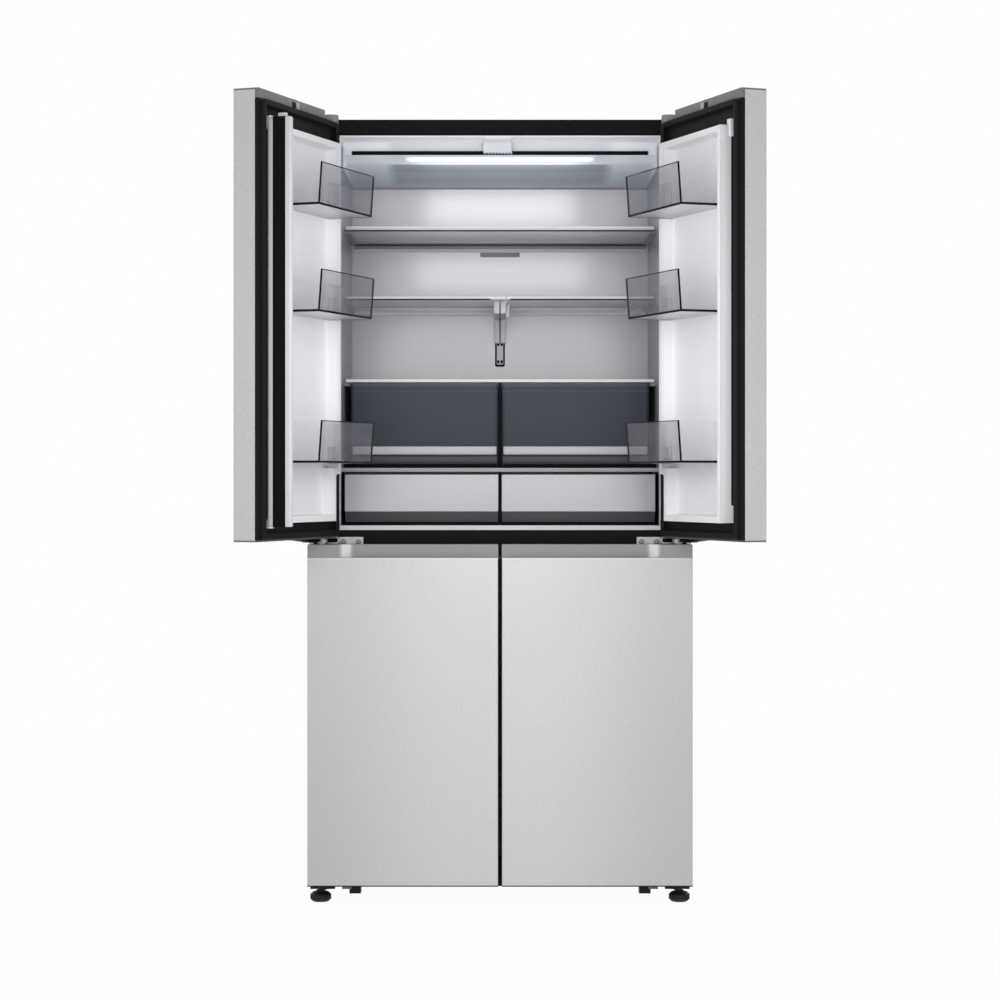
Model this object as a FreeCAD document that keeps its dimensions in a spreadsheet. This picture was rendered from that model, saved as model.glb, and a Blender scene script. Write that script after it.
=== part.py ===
"""Four-door refrigerator-freezer: upper doors open on the fridge, lower doors closed on the freezer.

Millimetres, +Z up, front towards -Y. The origin is on the floor under the middle of the cabinet.
"""
import FreeCAD, Part
import math
import os

import Sketcher

# Driving dimensions
DIMENSIONS = {
    # cabinet
    "cabinet_width": 910,
    "cabinet_depth": 624,
    "cabinet_height": 1860,
    "base_height": 46,
    "base_plate": 3,
    "steel": 1.2,
    "frame_plate": 3,
    # fridge compartment
    "fridge_half_width": 381,
    "roof": 42,
    "beam_level": 855.5,
    "floor_rise": 36.1,
    "fridge_depth": 500,
    "liner_wall": 4,
    "sill": 10.6,
    "rib_width": 14,
    "rib_height": 10,
    "rib_setback": 150,
    # freezer compartment
    "freezer_rise": 60,
    "freezer_drop": 37.5,
    "freezer_step_rise": 26,
    "freezer_depth": 452,
    "freezer_low_depth": 330,
    "freezer_post": 20,
    # rear duct, lamp and ceiling
    "duct_thickness": 31,
    "duct_drop": 69,
    "lamp_setback": 94,
    "lamp_front_height": 30,
    "lamp_run": 69,
    "lamp_drop": 13,
    "lamp_side_gap": 3,
    "led_half_width": 232,
    "led_depth": 62,
    "led_height": 5,
    "slot_half_width": 359,
    "slot_height": 9,
    "slot_thickness": 3,
    "vent_half_width": 50,
    "vent_height": 10,
    "vent_thickness": 4,
    "vent_drop": 34,
    "guide_width": 68,
    "guide_centre": -6,
    "guide_height": 26,
    "guide_depth": 24,
    "guide_front": 4,
    "guide_tongue": 4,
    # shelves
    "shelf_front": 139,
    "glass": 4,
    "glass_side_gap": 5,
    "trim_depth": 7,
    "trim_rise": 1.5,
    "trim_drop": 1,
    "upper_shelf_share": 0.647,
    "half_shelf_share": 0.351,
    "half_shelf_split": 15,
    "half_shelf_gap": 3,
    "cover_front": 129,
    "rail_width": 30,
    "rail_depth": 14,
    "rail_height": 150,
    "rail_slot_width": 6,
    "rail_slot_height": 10,
    "rail_slot_pitch": 24,
    "rail_slot_offset": 6,
    "arm_width": 8,
    "arm_height": 24,
    "arm_length": 240,
    "arm_spread": 11,
    # drawers
    "deck_rise": 137.4,
    "cover_rise": 211,
    "deck_thickness": 7,
    "deck_front": 26,
    "divider": 5,
    "slide_gap": 0.3,
    "drawer_wall": 3,
    "drawer_rib_gap": 3,
    "drawer_centre_gap": 1.5,
    "drawer_corner": 10,
    "crisper_front": 132,
    "crisper_depth": 325,
    "crisper_top_gap": 6,
    "crisper_grip_low": 32,
    "crisper_grip_height": 21,
    "crisper_grip_depth": 8,
    "pantry_front": 36,
    "pantry_depth": 400,
    "pantry_side_gap": 10,
    "pantry_top_gap": 7,
    "pantry_panel": 7,
    "pantry_panel_low": 38,
    # doors
    "door_stack": 76,
    "door_shell": 53,
    "door_flange": 9,
    "seal_gap": 0.3,
    "seal_width": 22,
    "door_reveal": 1,
    "door_gap": 8.6,
    "seal_hinge_side": 3,
    "seal_low_width": 13.2,
    "door_edge_radius": 3,
    "hinge_inset": 34,
    "hinge_back": 30,
    "flange_inset": 6,
    "cap_plate": 4,
    "cap_lip": 22,
    "open_angle": 110,
    "door_split": 15,
    "door_overlap": 6,
    "door_drop": 3,
    "dyke_top_gap": 31,
    "dyke_low_gap": 13.4,
    "dyke_step_drop": 15,
    "dyke_step_width": 28,
    "dyke_height": 97,
    "dyke_rim": 14,
    "dyke_side_gap": 5,
    "dyke_free_side": 37.2,
    "pillar_side_room": 47.2,
    "dyke_floor": 66,
    "strip_width": 6,
    "strip_depth": 26,
    "strip_margin": 40,
    # door bins
    "bin_wall": 3,
    "bin_reach": 188,
    "bin_height": 94,
    "bin_corner": 6,
    "bin_side_gap": 0.5,
    "bin_high_share": 0.8005,
    "bin_middle_share": 0.5318,
    "bin_deck_gap": 10,
    # folding pillar
    "pillar_width": 60,
    "pillar_thickness": 16,
    "pillar_top_gap": 16,
    "pillar_low_gap": 5.4,
    "pillar_pivot_in": 4,
    "pillar_strip_width": 32,
    "pillar_strip": 2,
    "nub_height": 9,
    "nub_width": 8,
    "nub_length": 22,
    "pivot_pin_radius": 2.5,
    "pivot_pin_length": 15,
    "bracket_plate": 8,
    "bracket_arm": 3,
    "bracket_root": 8,
    "bracket_width": 12,
    # lower doors
    "grip_height": 31,
    "grip_start": 38,
    "grip_slant": 34,
    "grip_recess": 26,
    "trough_depth": 28,
    "trough_wall": 2,
    "trough_front": 4,
    "trough_end": 18,
    "grip_join": 0.5,
    "inner_panel_height": 22,
    "inner_panel_margin": 39.2,
    "panel_side_gap": 3,
    # hinges and pins
    "pin_radius": 6,
    "pin_clearance": 0.05,
    "pin_reach": 30,
    "pin_length": 24,
    "mid_pin_drop": 21.7,
    "low_gap": 2,
    "low_plate_half": 29,
    "arm_plate": 9,
    "arm_half_width": 12,
    "hinge_flange": 3,
    "hinge_flange_height": 13,
    "mid_flange_inner": 326,
    "mid_flange_height": 17.6,
    "hinge_notch": 22,
    "hinge_notch_width": 58,
    "knuckle_reach": 34,
    "knuckle_front": 9,
    "knuckle_drop": 1.5,
    "knuckle_height": 16,
    "knuckle_radius": 8,
    "hinge_skin": 3.5,
    # feet and rollers
    "foot_radius": 24,
    "foot_chamfer": 5,
    "foot_height": 22,
    "foot_neck": 4,
    "foot_neck_radius": 11,
    "foot_setback": 22,
    "foot_inset": 29,
    "stem_radius": 6,
    "skid_width": 27,
    "skid_inset": 109,
    "skid_drop": 33,
    "skid_depth": 40,
    "roller_radius": 22,
    "roller_width": 30,
    "roller_inset": 75,
    "roller_setback": 70,
    "axle_radius": 5,
    "cheek": 4,
    "cheek_gap": 1,
    # machine compartment
    "machine_depth": 200,
    "machine_height": 250,
    "compressor_radius": 75,
    "compressor_height": 150,
    "compressor_inset": 205,
    "compressor_foot": 12,
    "condenser_inset": 190,
    "condenser_width": 190,
    "condenser_depth": 120,
    "condenser_height": 150,
    "condenser_fin": 1,
    "condenser_pitch": 12,
    "condenser_tube": 4,
    "fan_radius": 68,
    "fan_hub": 18,
    "fan_depth": 22,
    "fan_blade": 3,
    "fan_twist": 32,
    "fan_shaft": 4,
    "fan_motor_radius": 24,
    "fan_motor_length": 40,
    "fan_gap": 1,
    "cover_slot_width": 60,
    "cover_slot_height": 6,
    "cover_slot_pitch": 16,
    "cover_margin": 36,
}
# Shares of the compressor's radius: across its foot, neck, crown and cap, and up its belly, shoulder and brow
POT_FOOT, POT_NECK, POT_CROWN, POT_CAP = 0.8, 0.7, 0.85, 0.5
POT_BELLY, POT_SHOULDER, POT_BROW = 0.3, 0.45, 0.15
# Shares of the condenser's height at its tubes, and where a fan blade starts on the hub and ends at the rim
TUBE_SHARES = (0.2, 0.5, 0.8)
BLADE_ROOT, BLADE_TIP = 0.8, 0.97
FAN_BLADES = 7
FIN_COUNT = 14
RAIL_SLOTS = 5
COVER_SLOT_ROWS = 10
COVER_SLOT_COLUMNS = 8
QUARTER_TURN = 90
FULL_TURN = 360
TOUCH = 0.001
ZERO = 0.0

doc = FreeCAD.newDocument("refrigerator")
sheet = doc.addObject("Spreadsheet::Sheet", "Dims")
for row, (alias, number) in enumerate(DIMENSIONS.items(), start=1):
    sheet.set(f"A{row}", alias)
    sheet.set(f"B{row}", str(number))
    sheet.setAlias(f"B{row}", alias)
doc.recompute()


class Size:
    """A length as the sheet's expression text together with its present value."""

    def __init__(self, text, value):
        self.text = text
        self.value = value

    def join(self, other, sign, value, swap=False):
        text = other.text if isinstance(other, Size) else repr(other)
        first, second = (text, self.text) if swap else (self.text, text)
        return Size(f"({first} {sign} {second})", value)

    def __add__(self, other):
        return self.join(other, "+", self.value + number_of(other))

    def __radd__(self, other):
        return self.join(other, "+", number_of(other) + self.value, swap=True)

    def __sub__(self, other):
        return self.join(other, "-", self.value - number_of(other))

    def __rsub__(self, other):
        return self.join(other, "-", number_of(other) - self.value, swap=True)

    def __mul__(self, other):
        return self.join(other, "*", self.value * number_of(other))

    def __rmul__(self, other):
        return self.join(other, "*", number_of(other) * self.value, swap=True)

    def __truediv__(self, other):
        return self.join(other, "/", self.value / number_of(other))

    def __neg__(self):
        return Size(f"(0 - {self.text})", -self.value)


def number_of(value):
    return value.value if isinstance(value, Size) else value


class Dimensions:
    """Gives each sheet cell as a Size by its alias."""

    def __getattr__(self, alias):
        return Size(f"Dims.{alias}", float(sheet.get(alias)))


D = Dimensions()
nodes = {}


def bind(obj, prop, value):
    """Ties a property to a sheet expression, or sets a plain number."""
    if isinstance(value, Size):
        obj.setExpression(prop, value.text)
    else:
        obj.setExpression(prop, repr(float(value)))


def keep(node, obj):
    """Names a finished sub-part after its node."""
    obj.Label = node
    nodes[node] = obj
    return obj


def locate(obj, x, y, z, axis=FreeCAD.Vector(0, 0, 1), angle=ZERO):
    """Ties a piece's own placement to the sheet: the place of its origin and a turn about an axis."""
    obj.Placement = FreeCAD.Placement(FreeCAD.Vector(), FreeCAD.Rotation(axis, number_of(angle)))
    for letter, value in zip("xyz", (x, y, z)):
        bind(obj, f"Placement.Base.{letter}", value)
    if isinstance(angle, Size):
        bind(obj, "Placement.Rotation.Angle", angle)


def box(name, x, y, z):
    """A block from pairs of low and high planes."""
    block = doc.addObject("Part::Box", name)
    for prop, axis, (low, high) in zip(("Length", "Width", "Height"), "xyz", (x, y, z)):
        bind(block, prop, high - low)
        bind(block, f"Placement.Base.{axis}", low)
    return block


def fuse(name, *shapes):
    joined = doc.addObject("Part::MultiFuse", name)
    joined.Shapes = list(shapes)
    return joined


def cut(name, base, *tools):
    result = doc.addObject("Part::Cut", name)
    result.Base = base
    result.Tool = tools[0] if len(tools) == 1 else fuse(f"{name}_tools", *tools)
    return result


def group(name, *shapes):
    """Separate solids that share one node."""
    compound = doc.addObject("Part::Compound", name)
    compound.Links = list(shapes)
    return compound


def cylinder(name, radius, height, x, y, z, lying=False):
    """A round bar from a point along +Z, or along +X when lying."""
    bar = doc.addObject("Part::Cylinder", name)
    bind(bar, "Radius", radius)
    bind(bar, "Height", height)
    locate(bar, x, y, z, FreeCAD.Vector(0, 1, 0), QUARTER_TURN if lying else ZERO)
    return bar


def sketch_on(body, name, role, offset=ZERO):
    """A sketch on one of the body's own origin planes, moved along the plane's normal."""
    plane = next(f for f in body.Origin.OriginFeatures if f.Role == role)
    sketch = body.newObject("Sketcher::SketchObject", name)
    sketch.AttachmentSupport = [(plane, "")]
    sketch.MapMode = "FlatFace"
    bind(sketch, "AttachmentOffset.Base.z", offset)
    return sketch


def pin_point(sketch, index, point, place):
    """Ties a sketch point to a place measured from the sketch origin."""
    for kind, value in zip(("DistanceX", "DistanceY"), place):
        constraint = sketch.addConstraint(
            Sketcher.Constraint(kind, -1, 1, index, point, number_of(value))
        )
        bind(sketch, f"Constraints[{constraint}]", value)


def outline(sketch, points):
    """A closed outline of straight sides through the given points."""
    first = sketch.GeometryCount
    count = len(points)
    spots = [FreeCAD.Vector(number_of(x), number_of(y), 0) for x, y in points]
    for i in range(count):
        sketch.addGeometry(Part.LineSegment(spots[i], spots[(i + 1) % count]), False)
    for i in range(count):
        sketch.addConstraint(
            Sketcher.Constraint("Coincident", first + i, 2, first + (i + 1) % count, 1)
        )
    for i in range(count):
        pin_point(sketch, first + i, 1, points[i])


def rectangle(sketch, x, y):
    outline(sketch, [(x[0], y[0]), (x[1], y[0]), (x[1], y[1]), (x[0], y[1])])


def circle(sketch, x, y, radius):
    spot = FreeCAD.Vector(number_of(x), number_of(y), 0)
    index = sketch.addGeometry(
        Part.Circle(spot, FreeCAD.Vector(0, 0, 1), number_of(radius)), False
    )
    pin_point(sketch, index, 3, (x, y))
    constraint = sketch.addConstraint(Sketcher.Constraint("Radius", index, number_of(radius)))
    bind(sketch, f"Constraints[{constraint}]", radius)


def new_body(name):
    return doc.addObject("PartDesign::Body", name)


def pad(body, sketch, length, midplane=False):
    feature = body.newObject("PartDesign::Pad", f"{sketch.Name}_pad")
    feature.Profile = sketch
    feature.Midplane = midplane
    bind(feature, "Length", length)
    return feature


def pocket(body, sketch, length, reverse=False):
    """Cuts against the sketch normal, or along it when reversed, and checks that it removes material."""
    doc.recompute()
    before = body.Shape.Volume
    feature = body.newObject("PartDesign::Pocket", f"{sketch.Name}_pocket")
    feature.Profile = sketch
    feature.Reversed = reverse
    bind(feature, "Length", length)
    doc.recompute()
    if body.Shape.Volume >= before:
        raise RuntimeError(f"{feature.Name} cuts nothing")
    return feature


def round_upright_edges(body, feature, radius, wanted=lambda x, y: True):
    """Rounds the upright edges of a feature whose place in plan is wanted."""
    doc.recompute()
    names = []
    for i, edge in enumerate(feature.Shape.Edges, start=1):
        low, high = edge.Vertexes[0].Point, edge.Vertexes[-1].Point
        upright = math.hypot(low.x - high.x, low.y - high.y) < TOUCH and abs(low.z - high.z) > 1
        if upright and wanted(low.x, low.y):
            names.append(f"Edge{i}")
    fillet = body.newObject("PartDesign::Fillet", f"{body.Name}_round")
    fillet.Base = (feature, names)
    bind(fillet, "Radius", radius)
    return fillet


# Planes that several pieces share
front = -D.cabinet_depth / 2
rear = D.cabinet_depth / 2
half_width = D.cabinet_width / 2
machine_front = rear - D.machine_depth
machine_top = D.base_height + D.machine_height
base_top = D.base_height + D.base_plate
fridge_ceiling = D.cabinet_height - D.roof
fridge_floor = D.beam_level + D.floor_rise
freezer_ceiling = D.beam_level - D.freezer_drop
freezer_floor = D.base_height + D.freezer_rise
freezer_step = machine_top + D.freezer_step_rise
deck_level = fridge_floor + D.deck_rise
cover_level = deck_level + D.cover_rise
shelf_room = fridge_ceiling - cover_level
upper_shelf_level = cover_level + D.upper_shelf_share * shelf_room
half_shelf_level = cover_level + D.half_shelf_share * shelf_room
vent_level = upper_shelf_level - D.vent_drop
duct_top = fridge_ceiling - D.duct_drop
upper_door_top = D.cabinet_height + D.door_overlap
upper_door_bottom = D.beam_level + D.door_split / 2
lower_door_top = D.beam_level - D.door_split / 2
lower_door_bottom = D.base_height - D.door_drop
dyke_top = fridge_ceiling - D.dyke_top_gap
dyke_bottom = fridge_floor + D.dyke_low_gap
pillar_top = fridge_ceiling - D.pillar_top_gap
pillar_bottom = fridge_floor + D.pillar_low_gap
door_face = front - D.door_stack
hinge_x = half_width - D.door_reveal - D.hinge_inset
hinge_y = door_face + D.hinge_back
free_end = hinge_x - D.door_gap / 2
foot_side = half_width - D.foot_inset
skid_side = half_width - D.skid_inset
roller_side = half_width - D.roller_inset
compressor_x = D.compressor_inset - half_width
condenser_x = half_width - D.condenser_inset
liner_half = D.fridge_half_width + D.liner_wall
liner_floor = fridge_floor - D.sill
liner_top = fridge_ceiling + D.liner_wall
liner_back = front + D.fridge_depth
duct_face = liner_back - D.duct_thickness


def mirrored(side, low, high):
    """A span across the width, given for the right half, on either side."""
    return (low, high) if side > 0 else (-high, -low)


# Cabinet


def ribs(name, half, levels, y):
    """Ledges on both side walls that carry a shelf or drawer at each level."""
    made = []
    for side in (-1, 1):
        for number, level in enumerate(levels):
            across = mirrored(side, half - D.rib_width, half + D.liner_wall / 2)
            made.append(box(f"{name}_{side + 1}_{number}", across, y, (level - D.rib_height, level)))
    return made


def make_cabinet():
    wrap_block = box(
        "wrap_block",
        (-half_width, half_width),
        (front + D.frame_plate, rear - D.steel),
        (D.base_height, D.cabinet_height),
    )
    wrap_hollow = box(
        "wrap_hollow",
        (D.steel - half_width, half_width - D.steel),
        (front, rear),
        (ZERO * D.base_height, D.cabinet_height - D.steel),
    )
    keep("cabinet_wrap", cut("cabinet_wrap", wrap_block, wrap_hollow))

    back = box(
        "back_sheet",
        (-half_width, half_width),
        (rear - D.steel, rear),
        (machine_top, D.cabinet_height),
    )
    keep("cabinet_back", back)

    # Fridge tub with ledges for the shelves
    fridge_outer = box(
        "fridge_outer",
        (-liner_half, liner_half),
        (front, liner_back + D.liner_wall),
        (liner_floor, liner_top),
    )
    fridge_space = box(
        "fridge_space",
        (-D.fridge_half_width, D.fridge_half_width),
        (front - D.liner_wall, liner_back),
        (fridge_floor, fridge_ceiling),
    )
    tub = cut("fridge_tub", fridge_outer, fridge_space)
    rib_run = (front + D.rib_setback, duct_face - D.slide_gap)
    shelf_ribs = ribs(
        "shelf_rib",
        D.fridge_half_width,
        (upper_shelf_level, half_shelf_level, cover_level),
        rib_run,
    )
    deck_ribs = ribs(
        "deck_rib",
        D.fridge_half_width,
        (deck_level - D.deck_thickness,),
        (front + D.rib_setback, duct_face - D.slide_gap),
    )
    for rib in deck_ribs:
        bind(rib, "Length", D.liner_wall / 2 + D.pantry_side_gap / 2)
    bind(deck_ribs[1], "Placement.Base.x", D.fridge_half_width - D.pantry_side_gap / 2)
    keep("fridge_liner", fuse("fridge_liner", tub, *shelf_ribs, *deck_ribs))

    # Freezer tub: two bays, shallower below the step because of the machine compartment
    bay_x = (D.freezer_post, D.fridge_half_width)
    freezer_outer = fuse(
        "freezer_outer",
        box(
            "freezer_outer_high",
            (-liner_half, liner_half),
            (front, front + D.freezer_depth + D.liner_wall),
            (freezer_step - D.liner_wall, freezer_ceiling + D.liner_wall),
        ),
        box(
            "freezer_outer_low",
            (-liner_half, liner_half),
            (front, front + D.freezer_low_depth + D.liner_wall),
            (freezer_floor - D.liner_wall, freezer_step),
        ),
    )
    bays = []
    for side in (-1, 1):
        across = mirrored(side, *bay_x)
        bays.append(
            box(
                f"bay_high_{side + 1}",
                across,
                (front - D.liner_wall, front + D.freezer_depth),
                (freezer_step, freezer_ceiling),
            )
        )
        bays.append(
            box(
                f"bay_low_{side + 1}",
                across,
                (front - D.liner_wall, front + D.freezer_low_depth),
                (freezer_floor, freezer_step + D.liner_wall),
            )
        )
    keep("freezer_liner", cut("freezer_liner", freezer_outer, *bays))

    # Foam fills what the wrap and the tubs leave
    foam_block = box(
        "foam_block",
        (D.steel - half_width, half_width - D.steel),
        (front + D.frame_plate, rear - D.steel),
        (base_top, D.cabinet_height - D.steel),
    )
    machine_space = box(
        "machine_space",
        (-half_width, half_width),
        (machine_front, rear),
        (ZERO * D.base_height, machine_top),
    )
    keep("insulation", cut("insulation", foam_block, fridge_outer, freezer_outer, machine_space))

    # Black front frame with one fridge opening and one freezer opening
    frame_block = box(
        "frame_block",
        (-half_width, half_width),
        (front, front + D.frame_plate),
        (D.base_height, D.cabinet_height),
    )
    keep("front_frame", cut("front_frame", frame_block, fridge_outer, freezer_outer))

    # Base pan with two skid blocks and the cheeks that hold the rear rollers
    pan = box(
        "base_sheet",
        (D.steel - half_width, half_width - D.steel),
        (front + D.frame_plate, rear - D.steel),
        (D.base_height, base_top),
    )
    fittings = [pan]
    axle_y = rear - D.roller_setback
    for side in (-1, 1):
        across = mirrored(side, skid_side - D.skid_width / 2, skid_side + D.skid_width / 2)
        fittings.append(
            box(
                f"skid_{side + 1}",
                across,
                (front + D.frame_plate, front + D.frame_plate + D.skid_depth),
                (D.base_height - D.skid_drop, base_top),
            )
        )
        for end in (-1, 1):
            inner = roller_side + end * (D.roller_width / 2 + D.cheek_gap)
            outer = inner + end * D.cheek
            span = (inner, outer) if end > 0 else (outer, inner)
            name = f"cheek_{side + 1}_{end + 1}"
            cheek = box(
                f"{name}_plate",
                mirrored(side, *span),
                (axle_y - D.roller_radius / 2, axle_y + D.roller_radius / 2),
                (D.roller_radius - 2 * D.axle_radius, base_top),
            )
            bore = cylinder(
                f"{name}_bore",
                D.axle_radius + D.pin_clearance,
                3 * D.cheek,
                mirrored(side, *span)[0] - D.cheek,
                axle_y,
                D.roller_radius,
                lying=True,
            )
            fittings.append(cut(name, cheek, bore))
    keep("cabinet_base", fuse("cabinet_base", *fittings))


def make_interior():
    # Rear duct panel
    panel = box(
        "duct_block",
        (-D.fridge_half_width, D.fridge_half_width),
        (duct_face, liner_back),
        (fridge_floor, duct_top),
    )
    keep("rear_duct_panel", panel)

    # Lamp housing: a wedge under the ceiling, steep at the lamp and gentle towards the duct
    lamp_front = front + D.lamp_setback
    lamp_face_low = fridge_ceiling - D.lamp_front_height
    lamp_knee = (lamp_front + D.lamp_run, lamp_face_low - D.lamp_drop)
    lamp_half = D.fridge_half_width - D.lamp_side_gap
    wedge = new_body("lamp_wedge")
    profile = sketch_on(wedge, "lamp_profile", "YZ_Plane")
    outline(
        profile,
        [
            (lamp_front, fridge_ceiling),
            (lamp_front, lamp_face_low),
            lamp_knee,
            (liner_back, duct_top),
            (liner_back, fridge_ceiling),
        ],
    )
    pad(wedge, profile, 2 * lamp_half, midplane=True)
    fall = D.lamp_drop / D.lamp_run
    led_start = lamp_front + (D.lamp_run - D.led_depth) / 2
    led_end = led_start + D.led_depth
    led_low = lamp_face_low - fall * (D.lamp_run - D.led_depth) / 2
    led_high = led_low - fall * D.led_depth
    strip = new_body("led_body")
    face = sketch_on(strip, "led_profile", "YZ_Plane")
    outline(
        face,
        [
            (led_start, led_low),
            (led_end, led_high),
            (led_end, led_high + D.led_height),
            (led_start, led_low + D.led_height),
        ],
    )
    pad(strip, face, 2 * D.led_half_width, midplane=True)
    keep("led_strip", strip)
    keep("lamp_housing", cut("lamp_housing", wedge, strip))

    slot = box(
        "ceiling_slot",
        (-D.slot_half_width, D.slot_half_width),
        (lamp_front - D.slot_thickness, lamp_front),
        (lamp_face_low, lamp_face_low + D.slot_height),
    )
    vent = box(
        "vent_bar",
        (-D.vent_half_width, D.vent_half_width),
        (duct_face - D.vent_thickness, duct_face),
        (vent_level - D.vent_height / 2, vent_level + D.vent_height / 2),
    )
    keep("air_slots", group("air_slots", slot, vent))

    guide_x = (D.guide_centre - D.guide_width / 2, D.guide_centre + D.guide_width / 2)
    guide_back = lamp_front - D.slot_thickness
    guide = box(
        "guide_block",
        guide_x,
        (guide_back - D.guide_depth, guide_back),
        (fridge_ceiling - D.guide_height, fridge_ceiling),
    )
    tongue = box(
        "guide_tongue",
        guide_x,
        (front + D.guide_front, guide_back),
        (fridge_ceiling - D.guide_tongue, fridge_ceiling),
    )
    keep("pillar_guide", fuse("pillar_guide", guide, tongue))


def shelf(name, x, level, setback):
    """One glass plate with its front trim."""
    trim_front = front + setback
    plate = box(
        f"{name}_glass",
        x,
        (trim_front + D.trim_depth, duct_face - D.slide_gap),
        (level, level + D.glass),
    )
    trim = box(
        f"{name}_trim",
        x,
        (trim_front, trim_front + D.trim_depth),
        (level - D.trim_drop, level + D.glass + D.trim_rise),
    )
    return plate, trim


def make_shelves():
    side = D.fridge_half_width - D.glass_side_gap
    middle = D.half_shelf_split
    upper = shelf("upper_shelf", (-side, side), upper_shelf_level, D.shelf_front)
    left = shelf("left_half", (-side, middle - D.half_shelf_gap / 2), half_shelf_level, D.shelf_front)
    right = shelf("right_half", (middle + D.half_shelf_gap / 2, side), half_shelf_level, D.shelf_front)
    cover = shelf("crisper_cover", (-side, side), cover_level, D.cover_front)
    keep("upper_shelf_glass", upper[0])
    keep("half_shelf_glass", group("half_shelf_plates", left[0], right[0]))
    keep("crisper_cover_glass", cover[0])
    keep("shelf_trims", group("shelf_trims", upper[1], left[1], right[1], cover[1]))

    # Ladder rail on the duct panel, slotted in pairs, with two arms under the half shelves
    rail_top = half_shelf_level
    rail_low = rail_top - D.rail_height
    rail = new_body("rail_body")
    face = sketch_on(rail, "rail_face", "XZ_Plane", -duct_face)
    rectangle(face, (-D.rail_width / 2, D.rail_width / 2), (rail_low, rail_top))
    pad(rail, face, D.rail_depth)
    for side_sign in (-1, 1):
        slot = sketch_on(rail, f"rail_slot_{side_sign + 1}", "XZ_Plane", D.rail_depth - duct_face)
        centre = side_sign * D.rail_slot_offset
        low = rail_low + D.rail_slot_height
        rectangle(
            slot,
            (centre - D.rail_slot_width / 2, centre + D.rail_slot_width / 2),
            (low, low + D.rail_slot_height),
        )
        hole = pocket(rail, slot, D.rail_depth / 2)
        rows = rail.newObject("PartDesign::LinearPattern", f"rail_rows_{side_sign + 1}")
        rows.Originals = [hole]
        rows.Direction = (slot, ["V_Axis"])
        rows.Occurrences = RAIL_SLOTS
        bind(rows, "Length", (RAIL_SLOTS - 1) * D.rail_slot_pitch)
        rail.Tip = rows
        doc.recompute()
    arms = []
    rail_face = duct_face - D.rail_depth
    for side_sign in (-1, 1):
        centre = side_sign * D.arm_spread
        arms.append(
            box(
                f"shelf_arm_{side_sign + 1}",
                (centre - D.arm_width / 2, centre + D.arm_width / 2),
                (rail_face - D.arm_length, rail_face),
                (rail_top - D.arm_height, rail_top),
            )
        )
    keep("ladder_rail", group("ladder_rail", rail, *arms))


# Drawers


def open_tub(name, x, y, z, corner, wall):
    """A drawer or bin moulding: a block with rounded upright corners, hollowed from above."""
    body = new_body(name)
    plan = sketch_on(body, f"{name}_plan", "XY_Plane", z[0])
    rectangle(plan, x, y)
    block = pad(body, plan, z[1] - z[0])
    round_upright_edges(body, block, corner)
    mouth = sketch_on(body, f"{name}_mouth", "XY_Plane", z[1])
    rectangle(mouth, (x[0] + wall, x[1] - wall), (y[0] + wall, y[1] - wall))
    pocket(body, mouth, z[1] - z[0] - wall)
    return body


def make_drawers():
    deck = box(
        "deck_plate",
        (D.slide_gap - D.fridge_half_width, D.fridge_half_width - D.slide_gap),
        (front + D.deck_front, duct_face - D.slide_gap),
        (deck_level - D.deck_thickness, deck_level),
    )
    keep("drawer_deck", deck)
    upper_wall = box(
        "crisper_wall",
        (-D.divider / 2, D.divider / 2),
        (front + D.cover_front + D.trim_depth, duct_face - D.slide_gap),
        (deck_level, cover_level),
    )
    lower_wall = box(
        "pantry_wall",
        (-D.divider / 2, D.divider / 2),
        (front + D.pantry_front + D.drawer_wall, duct_face - D.slide_gap),
        (fridge_floor, deck_level - D.deck_thickness),
    )
    keep("drawer_divider", group("drawer_divider", upper_wall, lower_wall))

    inner = D.divider / 2 + D.drawer_centre_gap
    crisper_low = deck_level + D.slide_gap
    pantry_low = fridge_floor + D.slide_gap
    for side, word in ((-1, "left"), (1, "right")):
        # Crisper: a smoked tub with a handle strip standing out of its front
        across = mirrored(side, inner, D.fridge_half_width - D.rib_width - D.drawer_rib_gap)
        crisper_y = (front + D.crisper_front, front + D.crisper_front + D.crisper_depth)
        crisper = open_tub(
            f"crisper_{word}_tub",
            across,
            crisper_y,
            (crisper_low, cover_level - D.crisper_top_gap),
            D.drawer_wall,
            D.drawer_wall,
        )
        handle = sketch_on(crisper, f"crisper_{word}_handle", "XZ_Plane", -crisper_y[0])
        handle_low = crisper_low + D.crisper_grip_low
        rectangle(
            handle,
            (across[0] + D.drawer_corner, across[1] - D.drawer_corner),
            (handle_low, handle_low + D.crisper_grip_height),
        )
        pad(crisper, handle, D.crisper_grip_depth)
        keep(f"crisper_{word}", crisper)

        # Pantry drawer: a low tub with a metal-look front plate above a plain base strip
        pantry_across = mirrored(side, inner, D.fridge_half_width - D.pantry_side_gap)
        pantry_y = (front + D.pantry_front, front + D.pantry_front + D.pantry_depth)
        pantry_top = deck_level - D.deck_thickness - D.pantry_top_gap
        pantry = open_tub(
            f"pantry_{word}_tub",
            pantry_across,
            pantry_y,
            (pantry_low, pantry_top),
            D.drawer_wall,
            D.drawer_wall,
        )
        keep(f"pantry_{word}", pantry)
        plate = box(
            f"pantry_{word}_plate",
            pantry_across,
            (pantry_y[0] - D.pantry_panel, pantry_y[0]),
            (pantry_low + D.pantry_panel_low, pantry_top),
        )
        keep(f"pantry_{word}_front", plate)


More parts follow.
